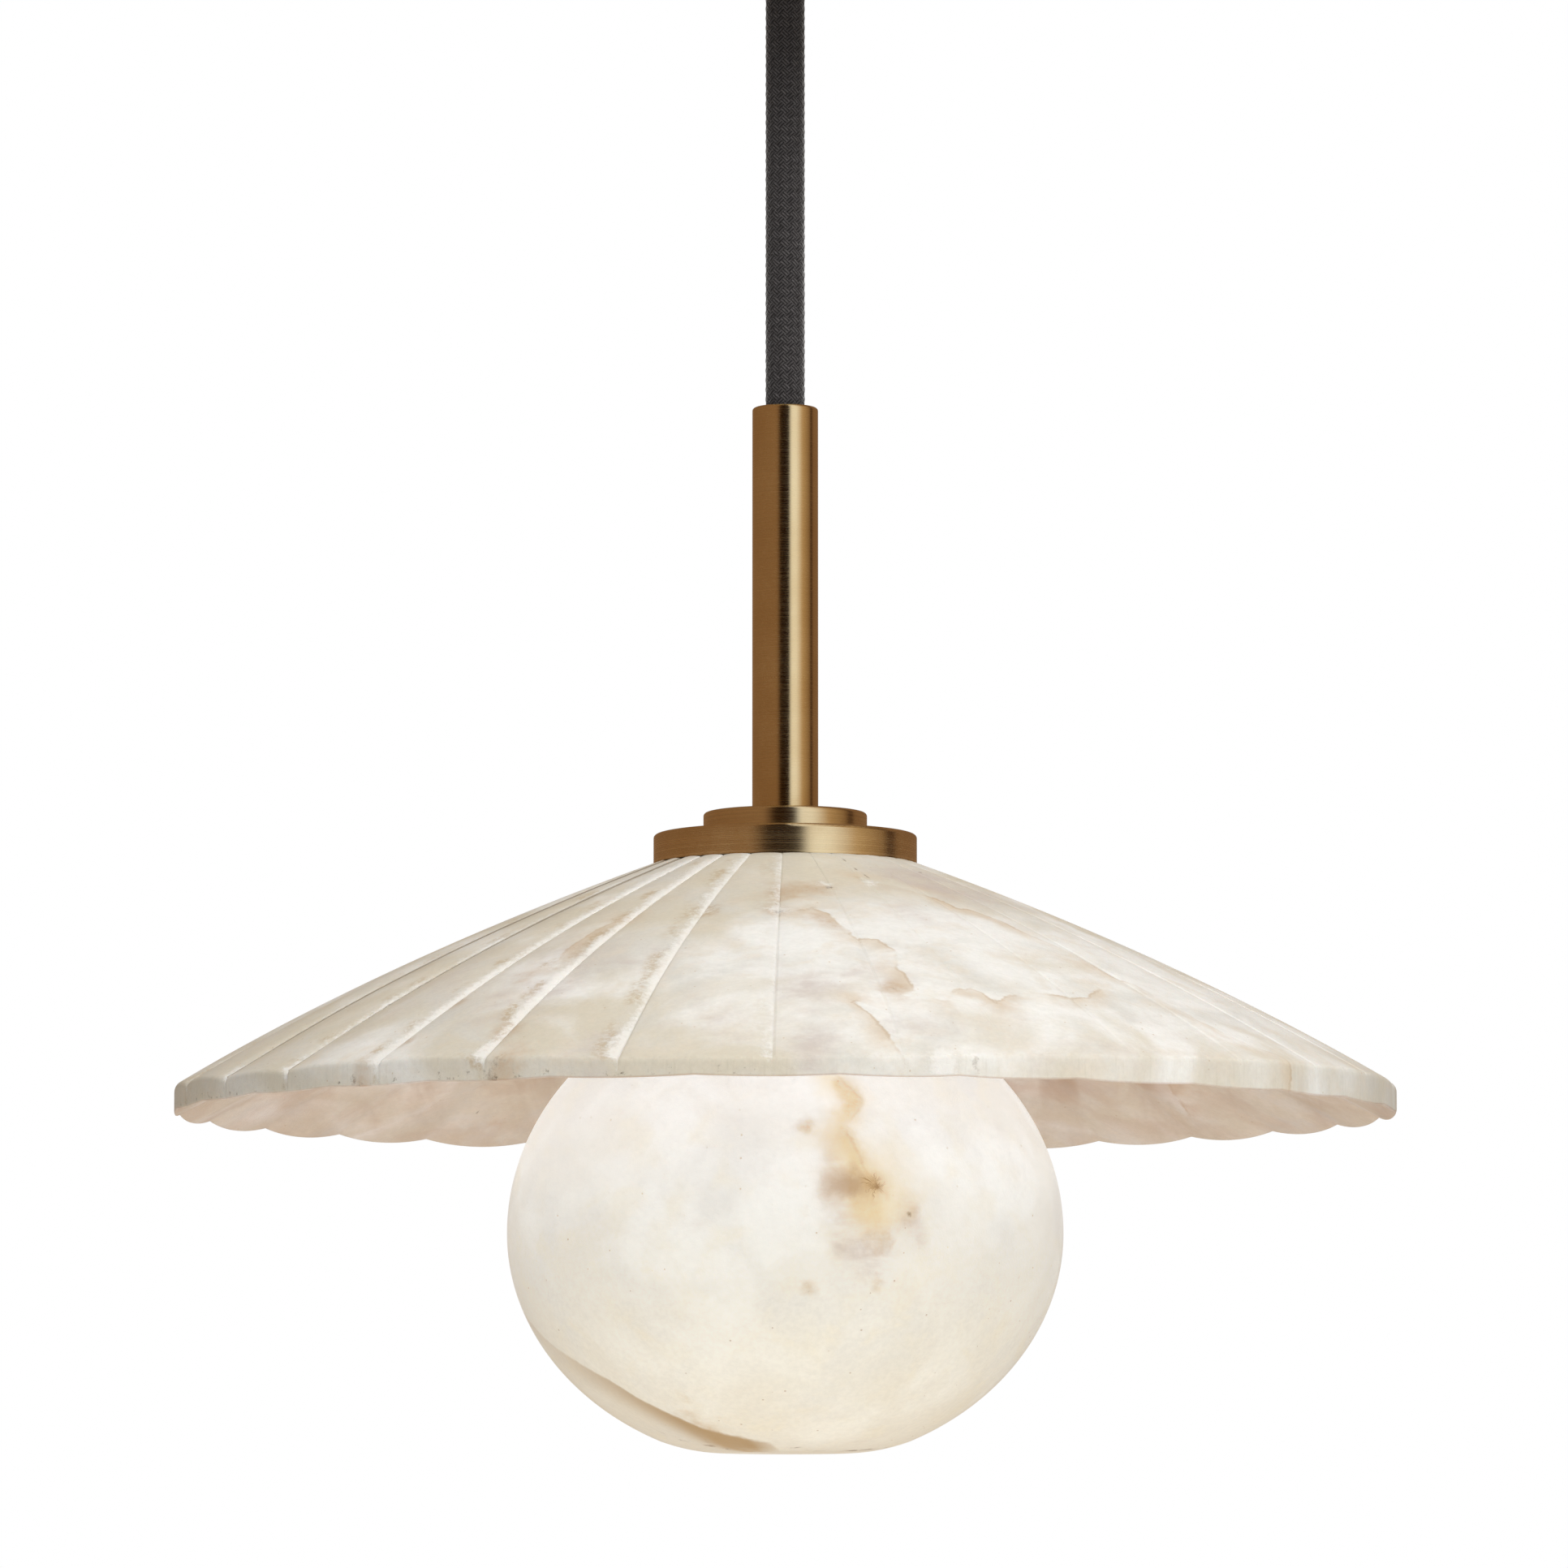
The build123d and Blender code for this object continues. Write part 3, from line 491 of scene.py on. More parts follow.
def beyond_border(points, border):
    """Distance of flat points from a closed border, negative inside it.

    A point is inside where a level ray from it crosses the border an odd number of times. A hair added to
    each stretch's climb keeps a level one from dividing by nothing.
    """
    hair = 1e-9
    nearest = line_distance(points, np.vstack([border, border[:1]]))
    level = points[..., 1]
    crossings = np.zeros(nearest.shape, int)
    for start, end in zip(border, np.roll(border, -1, axis=0)):
        spans = (start[1] > level) != (end[1] > level)
        lean = np.divide(*(end - start + (0, hair)))
        crossings += spans & (points[..., 0] < start[0] + (level - start[1]) * lean)
    return np.where(crossings % 2, -nearest, nearest)


def blots(points, places):
    """Sum of soft round blots: at each place a bell curve of its own size and strength, never above one."""
    return np.clip(sum(strength * np.exp(-(np.linalg.norm(points - place, axis=-1) / size) ** 2)
                       for place, size, strength in places), 0, 1)


def plan(azimuth, radius):
    """Point of the shade seen from above, for an azimuth and a radius in mm."""
    return np.asarray(radius)[..., None] * around(azimuth)[..., :2]


# Veins: reach of the clear stone beyond one (degrees, mm), then azimuth and radius in mm along it.
shade_veins = [
    ((10, -6), [
        (1.5, 78), (4.5, 76), (7, 78), (7.5, 82), (9, 88), (10, 93), (11, 94), (13, 95), (13.5, 98),
        (14.5, 101), (14, 107), (13.5, 111), (14, 116), (14, 122), (12, 126),
    ]),
    ((9, 2), [(7, 127.5), (8, 131.5), (9, 138), (9.5, 144), (10, 147.5), (10.5, 152)]),
    ((2, -16), [
        (15.5, 125), (17, 128), (18, 123.5), (19.5, 120.5), (20.5, 120.5), (22, 122), (22.5, 128),
        (23.5, 126), (26, 123.5), (27.5, 122.5), (29.5, 122), (32.5, 123.5), (35, 123.5), (37, 120.5),
        (38.5, 118),
    ]),
    ((10, 2), [
        (18.5, 51.5), (20.5, 55), (25.5, 57.5), (28.5, 59.5), (31, 62.5), (33, 65.5), (34.5, 72.5),
        (37.5, 73), (40, 78.5), (41.5, 86.5), (43, 94), (44.5, 97), (44, 103), (44.5, 109.5), (46, 115.5),
        (46.5, 124), (47.5, 131.5), (49, 141), (50, 144.5), (52.5, 147), (52, 152),
    ]),
    ((-6, 2), [(-31, 107), (-31.5, 96), (-31.5, 90), (-31, 84), (-28, 79)]),
    ((9, 4), [(104, 45), (112, 70), (118, 86), (116, 104), (127, 121), (131, 138)]),
    ((9, 3), [(168, 60), (171, 84), (181, 97), (178, 118), (188, 133), (190, 152)]),
    ((8, 3), [(228, 52), (236, 74), (233, 93), (246, 108), (250, 131)]),
]
# Soft blots, milky where the stone is purest, grey with clay, and brown to dark with iron: azimuth, radius
# and size in mm, strength.
shade_milky = [
    (18, 108, 26, 0.9), (26, 92, 26, 1.0), (6, 98, 22, 0.9), (-6, 100, 18, 0.7), (33, 108, 24, 0.9),
    (58, 115, 34, 0.8), (44, 130, 26, 0.7), (12, 132, 20, 0.6), (-10, 125, 18, 0.5), (160, 100, 40, 0.7),
    (250, 80, 40, 0.6), (-110, 110, 36, 0.5),
]
shade_grey = [
    (2.5, 146, 7, 1.0), (2, 120, 8, 0.8), (4, 132, 8, 0.4), (10, 116, 9, 0.5), (46, 58, 14, 1.0),
    (36, 50, 8, 0.8), (23.5, 75, 7, 0.7), (14, 134, 12, 0.4), (31, 147, 7, 0.45), (24, 149, 7, 0.4),
    (39, 141, 10, 0.4), (-7, 135, 12, 0.5), (-17, 146, 10, 0.5), (-20, 108, 12, 0.5), (-46, 120, 16, 0.5),
    (-33, 100, 15, 0.5), (-29, 118, 12, 0.4), (-30, 128, 12, 0.5), (82, 112, 18, 0.4), (140, 110, 20, 0.5),
    (205, 90, 18, 0.5), (265, 120, 16, 0.4), (330, 70, 12, 0.3),
]
shade_brown = [
    (12.5, 121.5, 5, 1.0), (11.5, 110, 7, 0.6), (6, 80.5, 6, 0.9), (9, 86, 4, 0.7), (2.5, 63, 8, 0.7),
    (9.5, 59, 5, 0.6), (23, 57, 7, 0.5), (31, 62, 6, 0.6), (37, 74, 6, 0.6), (41, 84, 6, 0.6),
    (9, 141, 5, 0.5), (24, 128, 6, 0.6), (20, 125, 6, 0.5), (31, 126, 6, 0.5), (44, 106, 6, 0.5),
    (47, 130, 6, 0.6), (53, 149, 4, 0.8), (-38.5, 124, 3.5, 1.0), (-38.5, 142, 3.5, 1.0),
    (-28, 138, 5, 1.0), (-32.5, 114, 4, 0.8), (-31.5, 96, 5, 0.7), (-31, 86, 6, 0.9), (-25.5, 149, 6, 0.9),
    (-14.5, 76.5, 4.5, 0.8), (-1.5, 76.5, 4, 1.0), (0.5, 64, 7, 0.6), (-9, 72, 7, 0.4), (-41, 150, 4, 0.9),
    (112, 90, 14, 0.7), (126, 126, 12, 0.7), (176, 100, 16, 0.7), (188, 140, 10, 0.8), (236, 84, 13, 0.7),
    (247, 122, 11, 0.7), (300, 100, 8, 0.5), (152, 60, 12, 0.6), (212, 138, 9, 0.6),
]
shade_dark = [
    (-1.5, 76.5, 2.5, 1.0), (-41.5, 151, 2.5, 0.7), (-26.5, 151, 3, 0.8), (10, 60, 2.5, 0.7),
    (22, 56, 2, 0.7), (10.5, 151, 2, 0.6), (17, 151, 2.5, 0.7), (12, 121, 1.5, 0.8), (176, 108, 4, 0.7),
    (247, 124, 3, 0.6), (116, 96, 3, 0.6),
]
# Chips struck white: azimuth and radius in mm, and size.
shade_chips = [
    (9.5, 58, 1.5), (21.5, 56, 2), (28, 52, 1), (-1.5, 76, 2.5), (-15, 76, 2), (-30.5, 107, 1.5),
    (14, 150, 3),
]
# Cracks: azimuth and radius in mm.
shade_cracks = [
    [(22, 34), (22, 45), (23, 56), (33, 50), (51, 44)],
    [(-2, 70), (-1, 76), (-1, 84)],
    [(140, 70), (147, 92), (145, 112)],
    [(220, 120), (216, 134), (219, 148)],
]
flat_points = plan(azimuth, 1000 * section[..., 0])


def vein_marks(piece, points, place, veins, cracks, **stains):
    """Mark a piece with its stone's features: place turns their own coordinates into those of the points."""
    off_vein, beyond_clear = [], []
    for reach, line in veins:
        path = place(*np.transpose(line))
        far_side = place(*np.transpose(np.add(line, reach)))
        off_vein.append(line_distance(points, path))
        beyond_clear.append(beyond_border(points, np.vstack([path, far_side[::-1]])))
    mark(piece, "vein", np.min(off_vein, axis=0))
    mark(piece, "stained", np.min(beyond_clear, axis=0))
    off_crack = [line_distance(points, place(*np.transpose(line))) for line in cracks]
    mark(piece, "crack", np.min(off_crack, axis=0))
    for name, places in stains.items():
        mark(piece, name, blots(points, [(place(*blot[:2]), *blot[2:]) for blot in places]))


vein_marks(shade, flat_points, plan, shade_veins, shade_cracks, milky=shade_milky, brown=shade_brown,
           grey=shade_grey, dark=shade_dark)
# Stone is bruised before each groove, further near the edge and less and less down the sawn band, and the
# bruise's white is partly a painted highlight. Bruises and the painted shade in the grooves are marked by
# the distance in mm outside them, and where the chisel struck lightly they are kept off by some mm.
edge_level = crown_height - shade_drop
edge_zone = 0.009
bruise_mm = 2.6
bruise_at_edge_mm = 2.0
bruise_down_band_mm = 6.0
lightly_struck = 0.4
kept_off_bruise_mm = 3.0
kept_off_groove_mm = 1.2
far_off_mm = 40
before_groove = np.where(across == 0, 0, 1 - across) * flute_pitch * section[..., 0] * 1000
after_groove = across * flute_pitch * section[..., 0] * 1000
near_edge = np.clip(1 - (shade_radius - section[..., 0]) / edge_zone, 0, 1)
band_share = np.clip((edge_level - section[..., 1]) / (edge_level - rim_height), 0, 1)
down_band = band_share * (face == 1)
bruise_and_highlight_share = np.interp(azimuth, carving[0], carving[3], period=360)
bruise_reach = bruise_and_highlight_share * (bruise_mm + bruise_at_edge_mm * near_edge - bruise_down_band_mm * down_band)
off_bruise = before_groove - bruise_reach + kept_off_bruise_mm * np.clip(1 - bruise_and_highlight_share / lightly_struck, 0, 1)
off_chip = np.min([np.linalg.norm(flat_points - plan(turn, reach), axis=-1) - size
                   for turn, reach, size in shade_chips], axis=0)
groove_shade_shown = np.interp(azimuth, carving[0], carving[2] ** 2, period=360)
off_groove = np.minimum(before_groove, after_groove) + kept_off_groove_mm * (1 - groove_shade_shown)
mark(shade, "bruise_and_highlight", np.minimum(off_bruise, off_chip) + far_off_mm * (face == 2))
mark(shade, "groove", off_groove + far_off_mm * (face > 0))
mark(shade, "underside", (face == 2) + 0 * across)
mark(shade, "bruise_and_highlight_share", bruise_and_highlight_share * (face < 2))
mark(shade, "sawn", down_band)
mark(shade, "radius", 1000 * section[..., 0])
smooth = {"interpolation_type": "SMOOTHSTEP"}


def alabaster(name, tones, wander, soft_edge, far_side, stain_reach, clay, line, **sockets):
    """Honed alabaster: milky clouds on faint bedding, stains of iron and clay, veins, cracks and specks.

    Each tone is laid over the last by its own share, and noise frays every blot. The border of the clear
    stone wanders by some mm with that noise. Across it iron fades to a share, far_side: over soft_edge mm
    either way along the vein, and over 7 mm where the border closes away from the vein and the two stones
    merge. The vein is a thin line on the border with stain beside it, and both fade out by stain_reach mm
    from its path. clay and line are the most that the clay's grey and the thin line cover.
    """
    speck_mm = 2.6
    # Light that enters the stone comes out again a few millimetres on, red the furthest.
    material, tree, shader, coordinates = new_material(
        name, Subsurface_Weight=0.1, Subsurface_Radius=(0.004, 0.003, 0.0022), Subsurface_Scale=1.0,
        **sockets)
    level = add(tree, "ShaderNodeVectorMath", {0: coordinates, 1: (0.3, 0.3, 1.0)}, operation="MULTIPLY")
    drawn = add(tree, "ShaderNodeVectorMath", {0: coordinates, 1: (0.12, 1.0, 0.12)}, operation="MULTIPLY")
    # Noises: what they are drawn on, size in mm, detail, roughness and distortion. Bedding is drawn out in
    # upright sheets across the view, and streaks are drawn out level.
    patterns = {
        "cloud": (coordinates, 40, 5.0, 0.55, 0.9), "haze": (coordinates, 22, 6.0, 0.55, 0.5),
        "wisp": (coordinates, 16, 6.0, 0.55, 0.6), "bloom": (coordinates, 11, 6.0, 0.55, 0.4),
        "fray": (coordinates, 7, 8.0, 0.62, 0.0), "bedding": (drawn, 5, 6.0, 0.55, 0.0),
        "streak": (level, 4.5, 6.0, 0.55, 0.0), "ragged": (coordinates, 4, 6.0, 0.55, 0.0),
        "spatter": (coordinates, 3, 8.0, 0.7, 0.0), "crumb": (coordinates, 1.4, 6.0, 0.7, 0.0),
        "grain": (coordinates, 0.9, 4.0, 0.55, 0.0),
    }
    noise = {}
    for pattern, (vector, size_mm, detail, roughness, distortion) in patterns.items():
        noise[pattern] = add(tree, "ShaderNodeTexNoise", {
            "Vector": vector, "Scale": 1000 / size_mm, "Detail": detail, "Roughness": roughness,
            "Distortion": distortion})
    at = {}
    for attribute in ("milky", "grey", "brown", "dark", "vein", "stained", "crack"):
        at[attribute] = add(tree, "ShaderNodeAttribute", attribute_name=attribute).outputs["Fac"]

    milk = add(tree, "ShaderNodeMath", {0: at["milky"], 1: 0.3, 2: noise["cloud"]}, operation="MULTIPLY_ADD")
    clear = add(tree, "ShaderNodeMapRange", {0: milk, 1: 0.44, 2: 0.78}, **smooth)
    hazy = add(tree, "ShaderNodeMapRange", {0: noise["haze"], 1: 0.46, 2: 0.70, 4: 0.7}, **smooth)
    warm = add(tree, "ShaderNodeMapRange", {0: noise["bloom"], 1: 0.48, 2: 0.72, 4: 0.5}, **smooth)
    bedded = add(tree, "ShaderNodeMapRange", {0: noise["bedding"], 1: 0.44, 2: 0.72, 4: 0.2}, **smooth)

    swing = add(tree, "ShaderNodeMath", {0: noise["fray"], 1: 0.5}, operation="SUBTRACT")
    border = add(tree, "ShaderNodeMath", {0: swing, 1: wander, 2: at["stained"]}, operation="MULTIPLY_ADD")
    off_border = add(tree, "ShaderNodeMath", {0: at["stained"]}, operation="ABSOLUTE")
    from_path = add(tree, "ShaderNodeMath", {0: at["vein"], 1: off_border}, operation="SUBTRACT")
    on_path = add(tree, "ShaderNodeMapRange", {0: from_path, 1: 2.0, 2: 0.4}, **smooth)
    merged = add(tree, "ShaderNodeMapRange", {0: border, 1: -7.0, 2: 7.0, 3: far_side}, **smooth)
    sharp = add(tree, "ShaderNodeMapRange", {0: border, 1: -soft_edge, 2: soft_edge, 3: far_side}, **smooth)
    sharper = add(tree, "ShaderNodeMath", {0: sharp, 1: merged}, operation="SUBTRACT")
    stained = add(tree, "ShaderNodeMath", {0: sharper, 1: on_path, 2: merged}, operation="MULTIPLY_ADD")

    wisps = add(tree, "ShaderNodeMath", {0: noise["wisp"], 1: 1.2, 2: at["grey"]}, operation="MULTIPLY_ADD")
    frayed = add(tree, "ShaderNodeMath", {0: noise["fray"], 1: 1.2, 2: wisps}, operation="MULTIPLY_ADD")
    clayed = add(tree, "ShaderNodeMapRange", {0: frayed, 1: 1.25, 2: 2.5, 4: clay}, **smooth)
    streaks = add(tree, "ShaderNodeMapRange", {0: noise["streak"], 1: 0.34, 2: 0.6, 3: 0.25}, **smooth)
    grey = add(tree, "ShaderNodeMath", {0: clayed, 1: streaks}, operation="MULTIPLY")
    rust = add(tree, "ShaderNodeMath", {0: noise["fray"], 1: 1.6, 2: at["brown"]}, operation="MULTIPLY_ADD")
    rusted = add(tree, "ShaderNodeMapRange", {0: rust, 1: 1.05, 2: 2.1, 4: 0.8}, **smooth)
    iron = add(tree, "ShaderNodeMath", {0: rusted, 1: stained}, operation="MULTIPLY")
    crumbs = add(tree, "ShaderNodeMapRange", {0: noise["crumb"], 1: 0.3, 2: 0.65, 3: 0.55}, **smooth)
    brown = add(tree, "ShaderNodeMath", {0: iron, 1: crumbs}, operation="MULTIPLY")

    within = add(tree, "ShaderNodeMapRange", {0: at["vein"], 1: stain_reach, 2: stain_reach / 3}, **smooth)
    broken = add(tree, "ShaderNodeMapRange", {0: noise["wisp"], 1: 0.38, 2: 0.62, 3: 0.1}, **smooth)
    near_vein = add(tree, "ShaderNodeMath", {0: within, 1: broken}, operation="MULTIPLY")
    soaked = add(tree, "ShaderNodeMapRange", {0: border, 1: 7.5, 2: -0.3, 4: 0.55}, **smooth)
    beside = add(tree, "ShaderNodeMath", {0: soaked, 1: stained}, operation="MULTIPLY")
    stain = add(tree, "ShaderNodeMath", {0: beside, 1: near_vein}, operation="MULTIPLY")
    off_line = add(tree, "ShaderNodeMath", {0: border}, operation="ABSOLUTE")
    thin = add(tree, "ShaderNodeMapRange", {0: off_line, 1: 0.7, 2: 0.0, 4: line}, **smooth)
    along = add(tree, "ShaderNodeMath", {0: on_path, 1: near_vein}, operation="MULTIPLY")
    vein = add(tree, "ShaderNodeMath", {0: thin, 1: along}, operation="MULTIPLY")

    spots = add(tree, "ShaderNodeMath", {0: noise["spatter"], 1: 2.4, 2: at["dark"]},
                operation="MULTIPLY_ADD")
    dark = add(tree, "ShaderNodeMapRange", {0: spots, 1: 1.75, 2: 2.4, 4: 0.8}, **smooth)
    ragged = add(tree, "ShaderNodeMath", {0: noise["ragged"], 1: 1.8, 2: at["crack"]},
                 operation="MULTIPLY_ADD")
    cracked = add(tree, "ShaderNodeMapRange", {0: ragged, 1: 1.1, 2: 0.75, 4: 0.7}, **smooth)
    parted = add(tree, "ShaderNodeMapRange", {0: noise["wisp"], 1: 0.4, 2: 0.55}, **smooth)
    crack = add(tree, "ShaderNodeMath", {0: cracked, 1: parted}, operation="MULTIPLY")

    colour = linear(tones["pale"])
    for share, tone in [(clear, "clear"), (hazy, "cool"), (warm, "warm"), (bedded, "cool"), (grey, "grey"),
                        (brown, "brown"), (stain, "stain"), (vein, "line"), (dark, "dark"), (crack, "dark")]:
        colour = add(tree, "ShaderNodeMix", {0: share, 6: colour, 7: linear(tones[tone])}, data_type="RGBA")
    sugar = add(tree, "ShaderNodeMapRange", {0: noise["crumb"], 1: 0.3, 2: 0.7, 3: 0.955, 4: 1.02}, **smooth)
    colour = add(tree, "ShaderNodeMix", {0: 1.0, 6: colour, 7: sugar},
                 data_type="RGBA", blend_type="MULTIPLY")
    cells = add(tree, "ShaderNodeTexVoronoi", {"Vector": coordinates, "Scale": 1000 / speck_mm})
    chosen = add(tree, "ShaderNodeSeparateColor", {0: cells.outputs["Color"]})
    speck_size = add(tree, "ShaderNodeMapRange", {0: chosen, 1: 0.5, 2: 1.0, 4: 0.12}, **smooth)
    off_speck = add(tree, "ShaderNodeMath", {0: cells, 1: speck_size}, operation="SUBTRACT")
    speck = add(tree, "ShaderNodeMapRange", {0: off_speck, 1: 0.02, 2: -0.05, 4: 0.45}, **smooth)
    colour = add(tree, "ShaderNodeMix", {0: speck, 6: colour, 7: linear(tones["line"])}, data_type="RGBA")
    return material, tree, shader, coordinates, colour, noise["grain"]


shade_tones = {
    "pale": "#DCD3BF", "clear": "#F6F4EE", "cool": "#DCD9D0", "warm": "#E7DBC8", "grey": "#CFC2B9",
    "brown": "#C3A583", "stain": "#D9C3A4", "line": "#BA9868", "dark": "#6A4C30",
}
# Carved stone is honed by hand to a low sheen, and seems a little soft at its edges.
carved_stone, tree, shader, coordinates, colour, grain = alabaster(
    "carved alabaster", shade_tones, wander=5.0, soft_edge=0.9, far_side=0.0, stain_reach=12.0,
    clay=0.9, line=0.45, Roughness=0.42)
upright = add(tree, "ShaderNodeVectorMath", {0: coordinates, 1: (1.0, 1.0, 0.12)}, operation="MULTIPLY")
beds = add(tree, "ShaderNodeMapping",
           {"Vector": coordinates, "Rotation": (0, 0, -0.13), "Scale": (1.0, 10.0, 3.0)},
           vector_type="TEXTURE")
# Noises: what they are drawn on, size in mm, detail, roughness and distortion.
shade_patterns = {
    "crush": (coordinates, 1.3, 7.0, 0.72, 0.0), "spread": (coordinates, 14, 4.0, 0.55, 0.0),
    "patch": (coordinates, 13, 3.0, 0.55, 0.0), "scratch": (upright, 0.8, 4.0, 0.55, 0.0),
    "dirt": (coordinates, 1.8, 7.0, 0.72, 0.0), "drift": (coordinates, 18, 4.0, 0.55, 0.6),
    "bed": (beds, 11, 4.0, 0.55, 0.0),
}
shade_noise = {}
for pattern, (vector, size_mm, detail, roughness, distortion) in shade_patterns.items():
    shade_noise[pattern] = add(tree, "ShaderNodeTexNoise", {
        "Vector": vector, "Scale": 1000 / size_mm, "Detail": detail, "Roughness": roughness,
        "Distortion": distortion})
shade_at = {}
for attribute in ("bruise_and_highlight", "groove", "bruise_and_highlight_share", "sawn", "underside", "radius"):
    shade_at[attribute] = add(tree, "ShaderNodeAttribute", attribute_name=attribute).outputs["Fac"]
crush = shade_noise["crush"]

# Bruised stone beside each groove and where it meets the sawn edge: crushed crystals scatter white. The
# white is also a painted highlight, strongest on the left, on bevels that face the key lamp.
spread = add(tree, "ShaderNodeMath", {0: shade_noise["spread"], 1: 5.0, 2: shade_at["bruise_and_highlight"]},
             operation="MULTIPLY_ADD")
crushed = add(tree, "ShaderNodeMath", {0: crush, 1: 8.0, 2: spread}, operation="MULTIPLY_ADD")
bruise_and_highlight = add(tree, "ShaderNodeMapRange", {0: crushed, 1: 7.6, 2: 4.2, 4: 0.85}, **smooth)
# Painted shade: a thin dark line down each groove, darker where the groove is cut deeper, most on the left.
groove_shade_line = add(tree, "ShaderNodeMath", {0: crush, 1: 0.8, 2: shade_at["groove"]}, operation="MULTIPLY_ADD")
groove = add(tree, "ShaderNodeMapRange", {0: groove_shade_line, 1: 0.85, 2: 0.4, 4: 0.8}, **smooth)

# Tan crumbs of clay lie in patches just outside the bruise, most where the chisel struck hardest.
clear_of_it = add(tree, "ShaderNodeMapRange", {0: spread, 1: 1.6, 2: 3.4}, **smooth)
close_to_it = add(tree, "ShaderNodeMapRange", {0: spread, 1: 6.6, 2: 4.2}, **smooth)
outside = add(tree, "ShaderNodeMath", {0: clear_of_it, 1: close_to_it}, operation="MULTIPLY")
patch = add(tree, "ShaderNodeMapRange", {0: shade_noise["patch"], 1: 0.48, 2: 0.6}, **smooth)
lumps = add(tree, "ShaderNodeMapRange", {0: crush, 1: 0.38, 2: 0.6}, **smooth)
patches = add(tree, "ShaderNodeMath", {0: patch, 1: lumps}, operation="MULTIPLY")
strewn = add(tree, "ShaderNodeMath", {0: outside, 1: patches}, operation="MULTIPLY")
hard_struck = add(tree, "ShaderNodeMapRange", {0: shade_at["bruise_and_highlight_share"], 1: 0.3, 2: 1.0, 4: 0.6}, **smooth)
crumbs = add(tree, "ShaderNodeMath", {0: strewn, 1: hard_struck}, operation="MULTIPLY")

# The sawn edge keeps upright scratches, and dirt along its foot where the chisel left it rough.
scored = add(tree, "ShaderNodeMapRange", {0: shade_noise["scratch"], 1: 0.5, 2: 0.75, 4: 0.14}, **smooth)
on_edge = add(tree, "ShaderNodeMapRange", {0: shade_at["sawn"], 1: 0.0, 2: 0.15}, **smooth)
scratch = add(tree, "ShaderNodeMath", {0: scored, 1: on_edge}, operation="MULTIPLY")
settled = add(tree, "ShaderNodeMath", {0: shade_at["sawn"], 1: 0.3, 2: shade_noise["dirt"]},
              operation="MULTIPLY_ADD")
lodged = add(tree, "ShaderNodeMapRange", {0: settled, 1: 0.8, 2: 0.92}, **smooth)
rough_left = add(tree, "ShaderNodeMapRange", {0: shade_at["bruise_and_highlight_share"], 1: 0.2, 2: 0.8, 4: 0.75}, **smooth)
dirt = add(tree, "ShaderNodeMath", {0: lodged, 1: rough_left}, operation="MULTIPLY")

# Underside: a little rosy, and soft tan drifts grow towards the globe, both partly painted warm light from
# the globe's glow. Beds of darker stone, a few millimetres wide, cross it from front to back.
drifts = add(tree, "ShaderNodeMapRange", {0: shade_noise["drift"], 1: 0.42, 2: 0.66}, **smooth)
drift_reach = add(tree, "ShaderNodeMapRange", {0: shade_at["radius"], 1: 150.0, 2: 70.0, 3: 0.2}, **smooth)
drift_there = add(tree, "ShaderNodeMath", {0: drifts, 1: drift_reach}, operation="MULTIPLY")
drift = add(tree, "ShaderNodeMath", {0: drift_there, 1: shade_at["underside"]}, operation="MULTIPLY")
bedding = add(tree, "ShaderNodeMapRange", {0: shade_noise["bed"], 1: 0.46, 2: 0.68}, **smooth)
bed_reach = add(tree, "ShaderNodeMapRange", {0: shade_at["radius"], 1: 145.0, 2: 85.0, 3: 0.15, 4: 0.7},
                **smooth)
bed_there = add(tree, "ShaderNodeMath", {0: bedding, 1: bed_reach}, operation="MULTIPLY")
bed = add(tree, "ShaderNodeMath", {0: bed_there, 1: shade_at["underside"]}, operation="MULTIPLY")

# Laid over in turn: the bruise with its painted highlight, the painted shade in the grooves, crumbs,
# scratches, dirt, drifts and beds.
for share, tone in [(bruise_and_highlight, "#F6F3EC"), (groove, "#85765F"), (crumbs, "#BA9F76"), (scratch, "#B3AA94"),
                    (dirt, "#6E6350"), (drift, "#C2A48A"), (bed, "#AC8C70")]:
    colour = add(tree, "ShaderNodeMix", {0: share, 6: colour, 7: linear(tone)}, data_type="RGBA")
# The rosy tint over the whole underside is partly painted warm light from the globe.
colour = add(tree, "ShaderNodeMix", {0: shade_at["underside"], 6: colour, 7: linear("#F7EDEA")},
             data_type="RGBA", blend_type="MULTIPLY")
rough_crush = add(tree, "ShaderNodeMath", {0: crush, 1: bruise_and_highlight}, operation="MULTIPLY")
relief = add(tree, "ShaderNodeMath", {0: rough_crush, 1: 4.0, 2: grain}, operation="MULTIPLY_ADD")
finish_material(tree, shader, colour, None, relief, strength=0.4, depth_mm=0.22)
shade.data.materials.append(carved_stone)
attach(shade, "pendant")
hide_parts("shade")

# Clamped stack: felt and rubber washers either side of the stone, and a steel plate and nut on the threaded
# rod, hold it without strain. The washers are cut from sheet, and the steel is zinc plated.
# Felt is woolly and quite matt.
grey_felt = mottled("pressed grey felt", "#8B8985", "#6C6A67",
                    grain_mm=0.6, roughness=(0.9, 1.0), strength=0.6)
dress(grey_felt, "top_washer")
dress(black_rubber, "bottom_washer")
dress(zinc_steel, "nipple", "clamp_plate", "lock_nut")

# Gallery: spun brass cup on the rod, with a threaded neck below it that carries the globe. A steel nut
# holds it there, and a steel disc below the nut carries the lampholder.
dress(bright_brass, "gallery")
dress(zinc_steel, "gallery_nut", "lampholder_carrier")

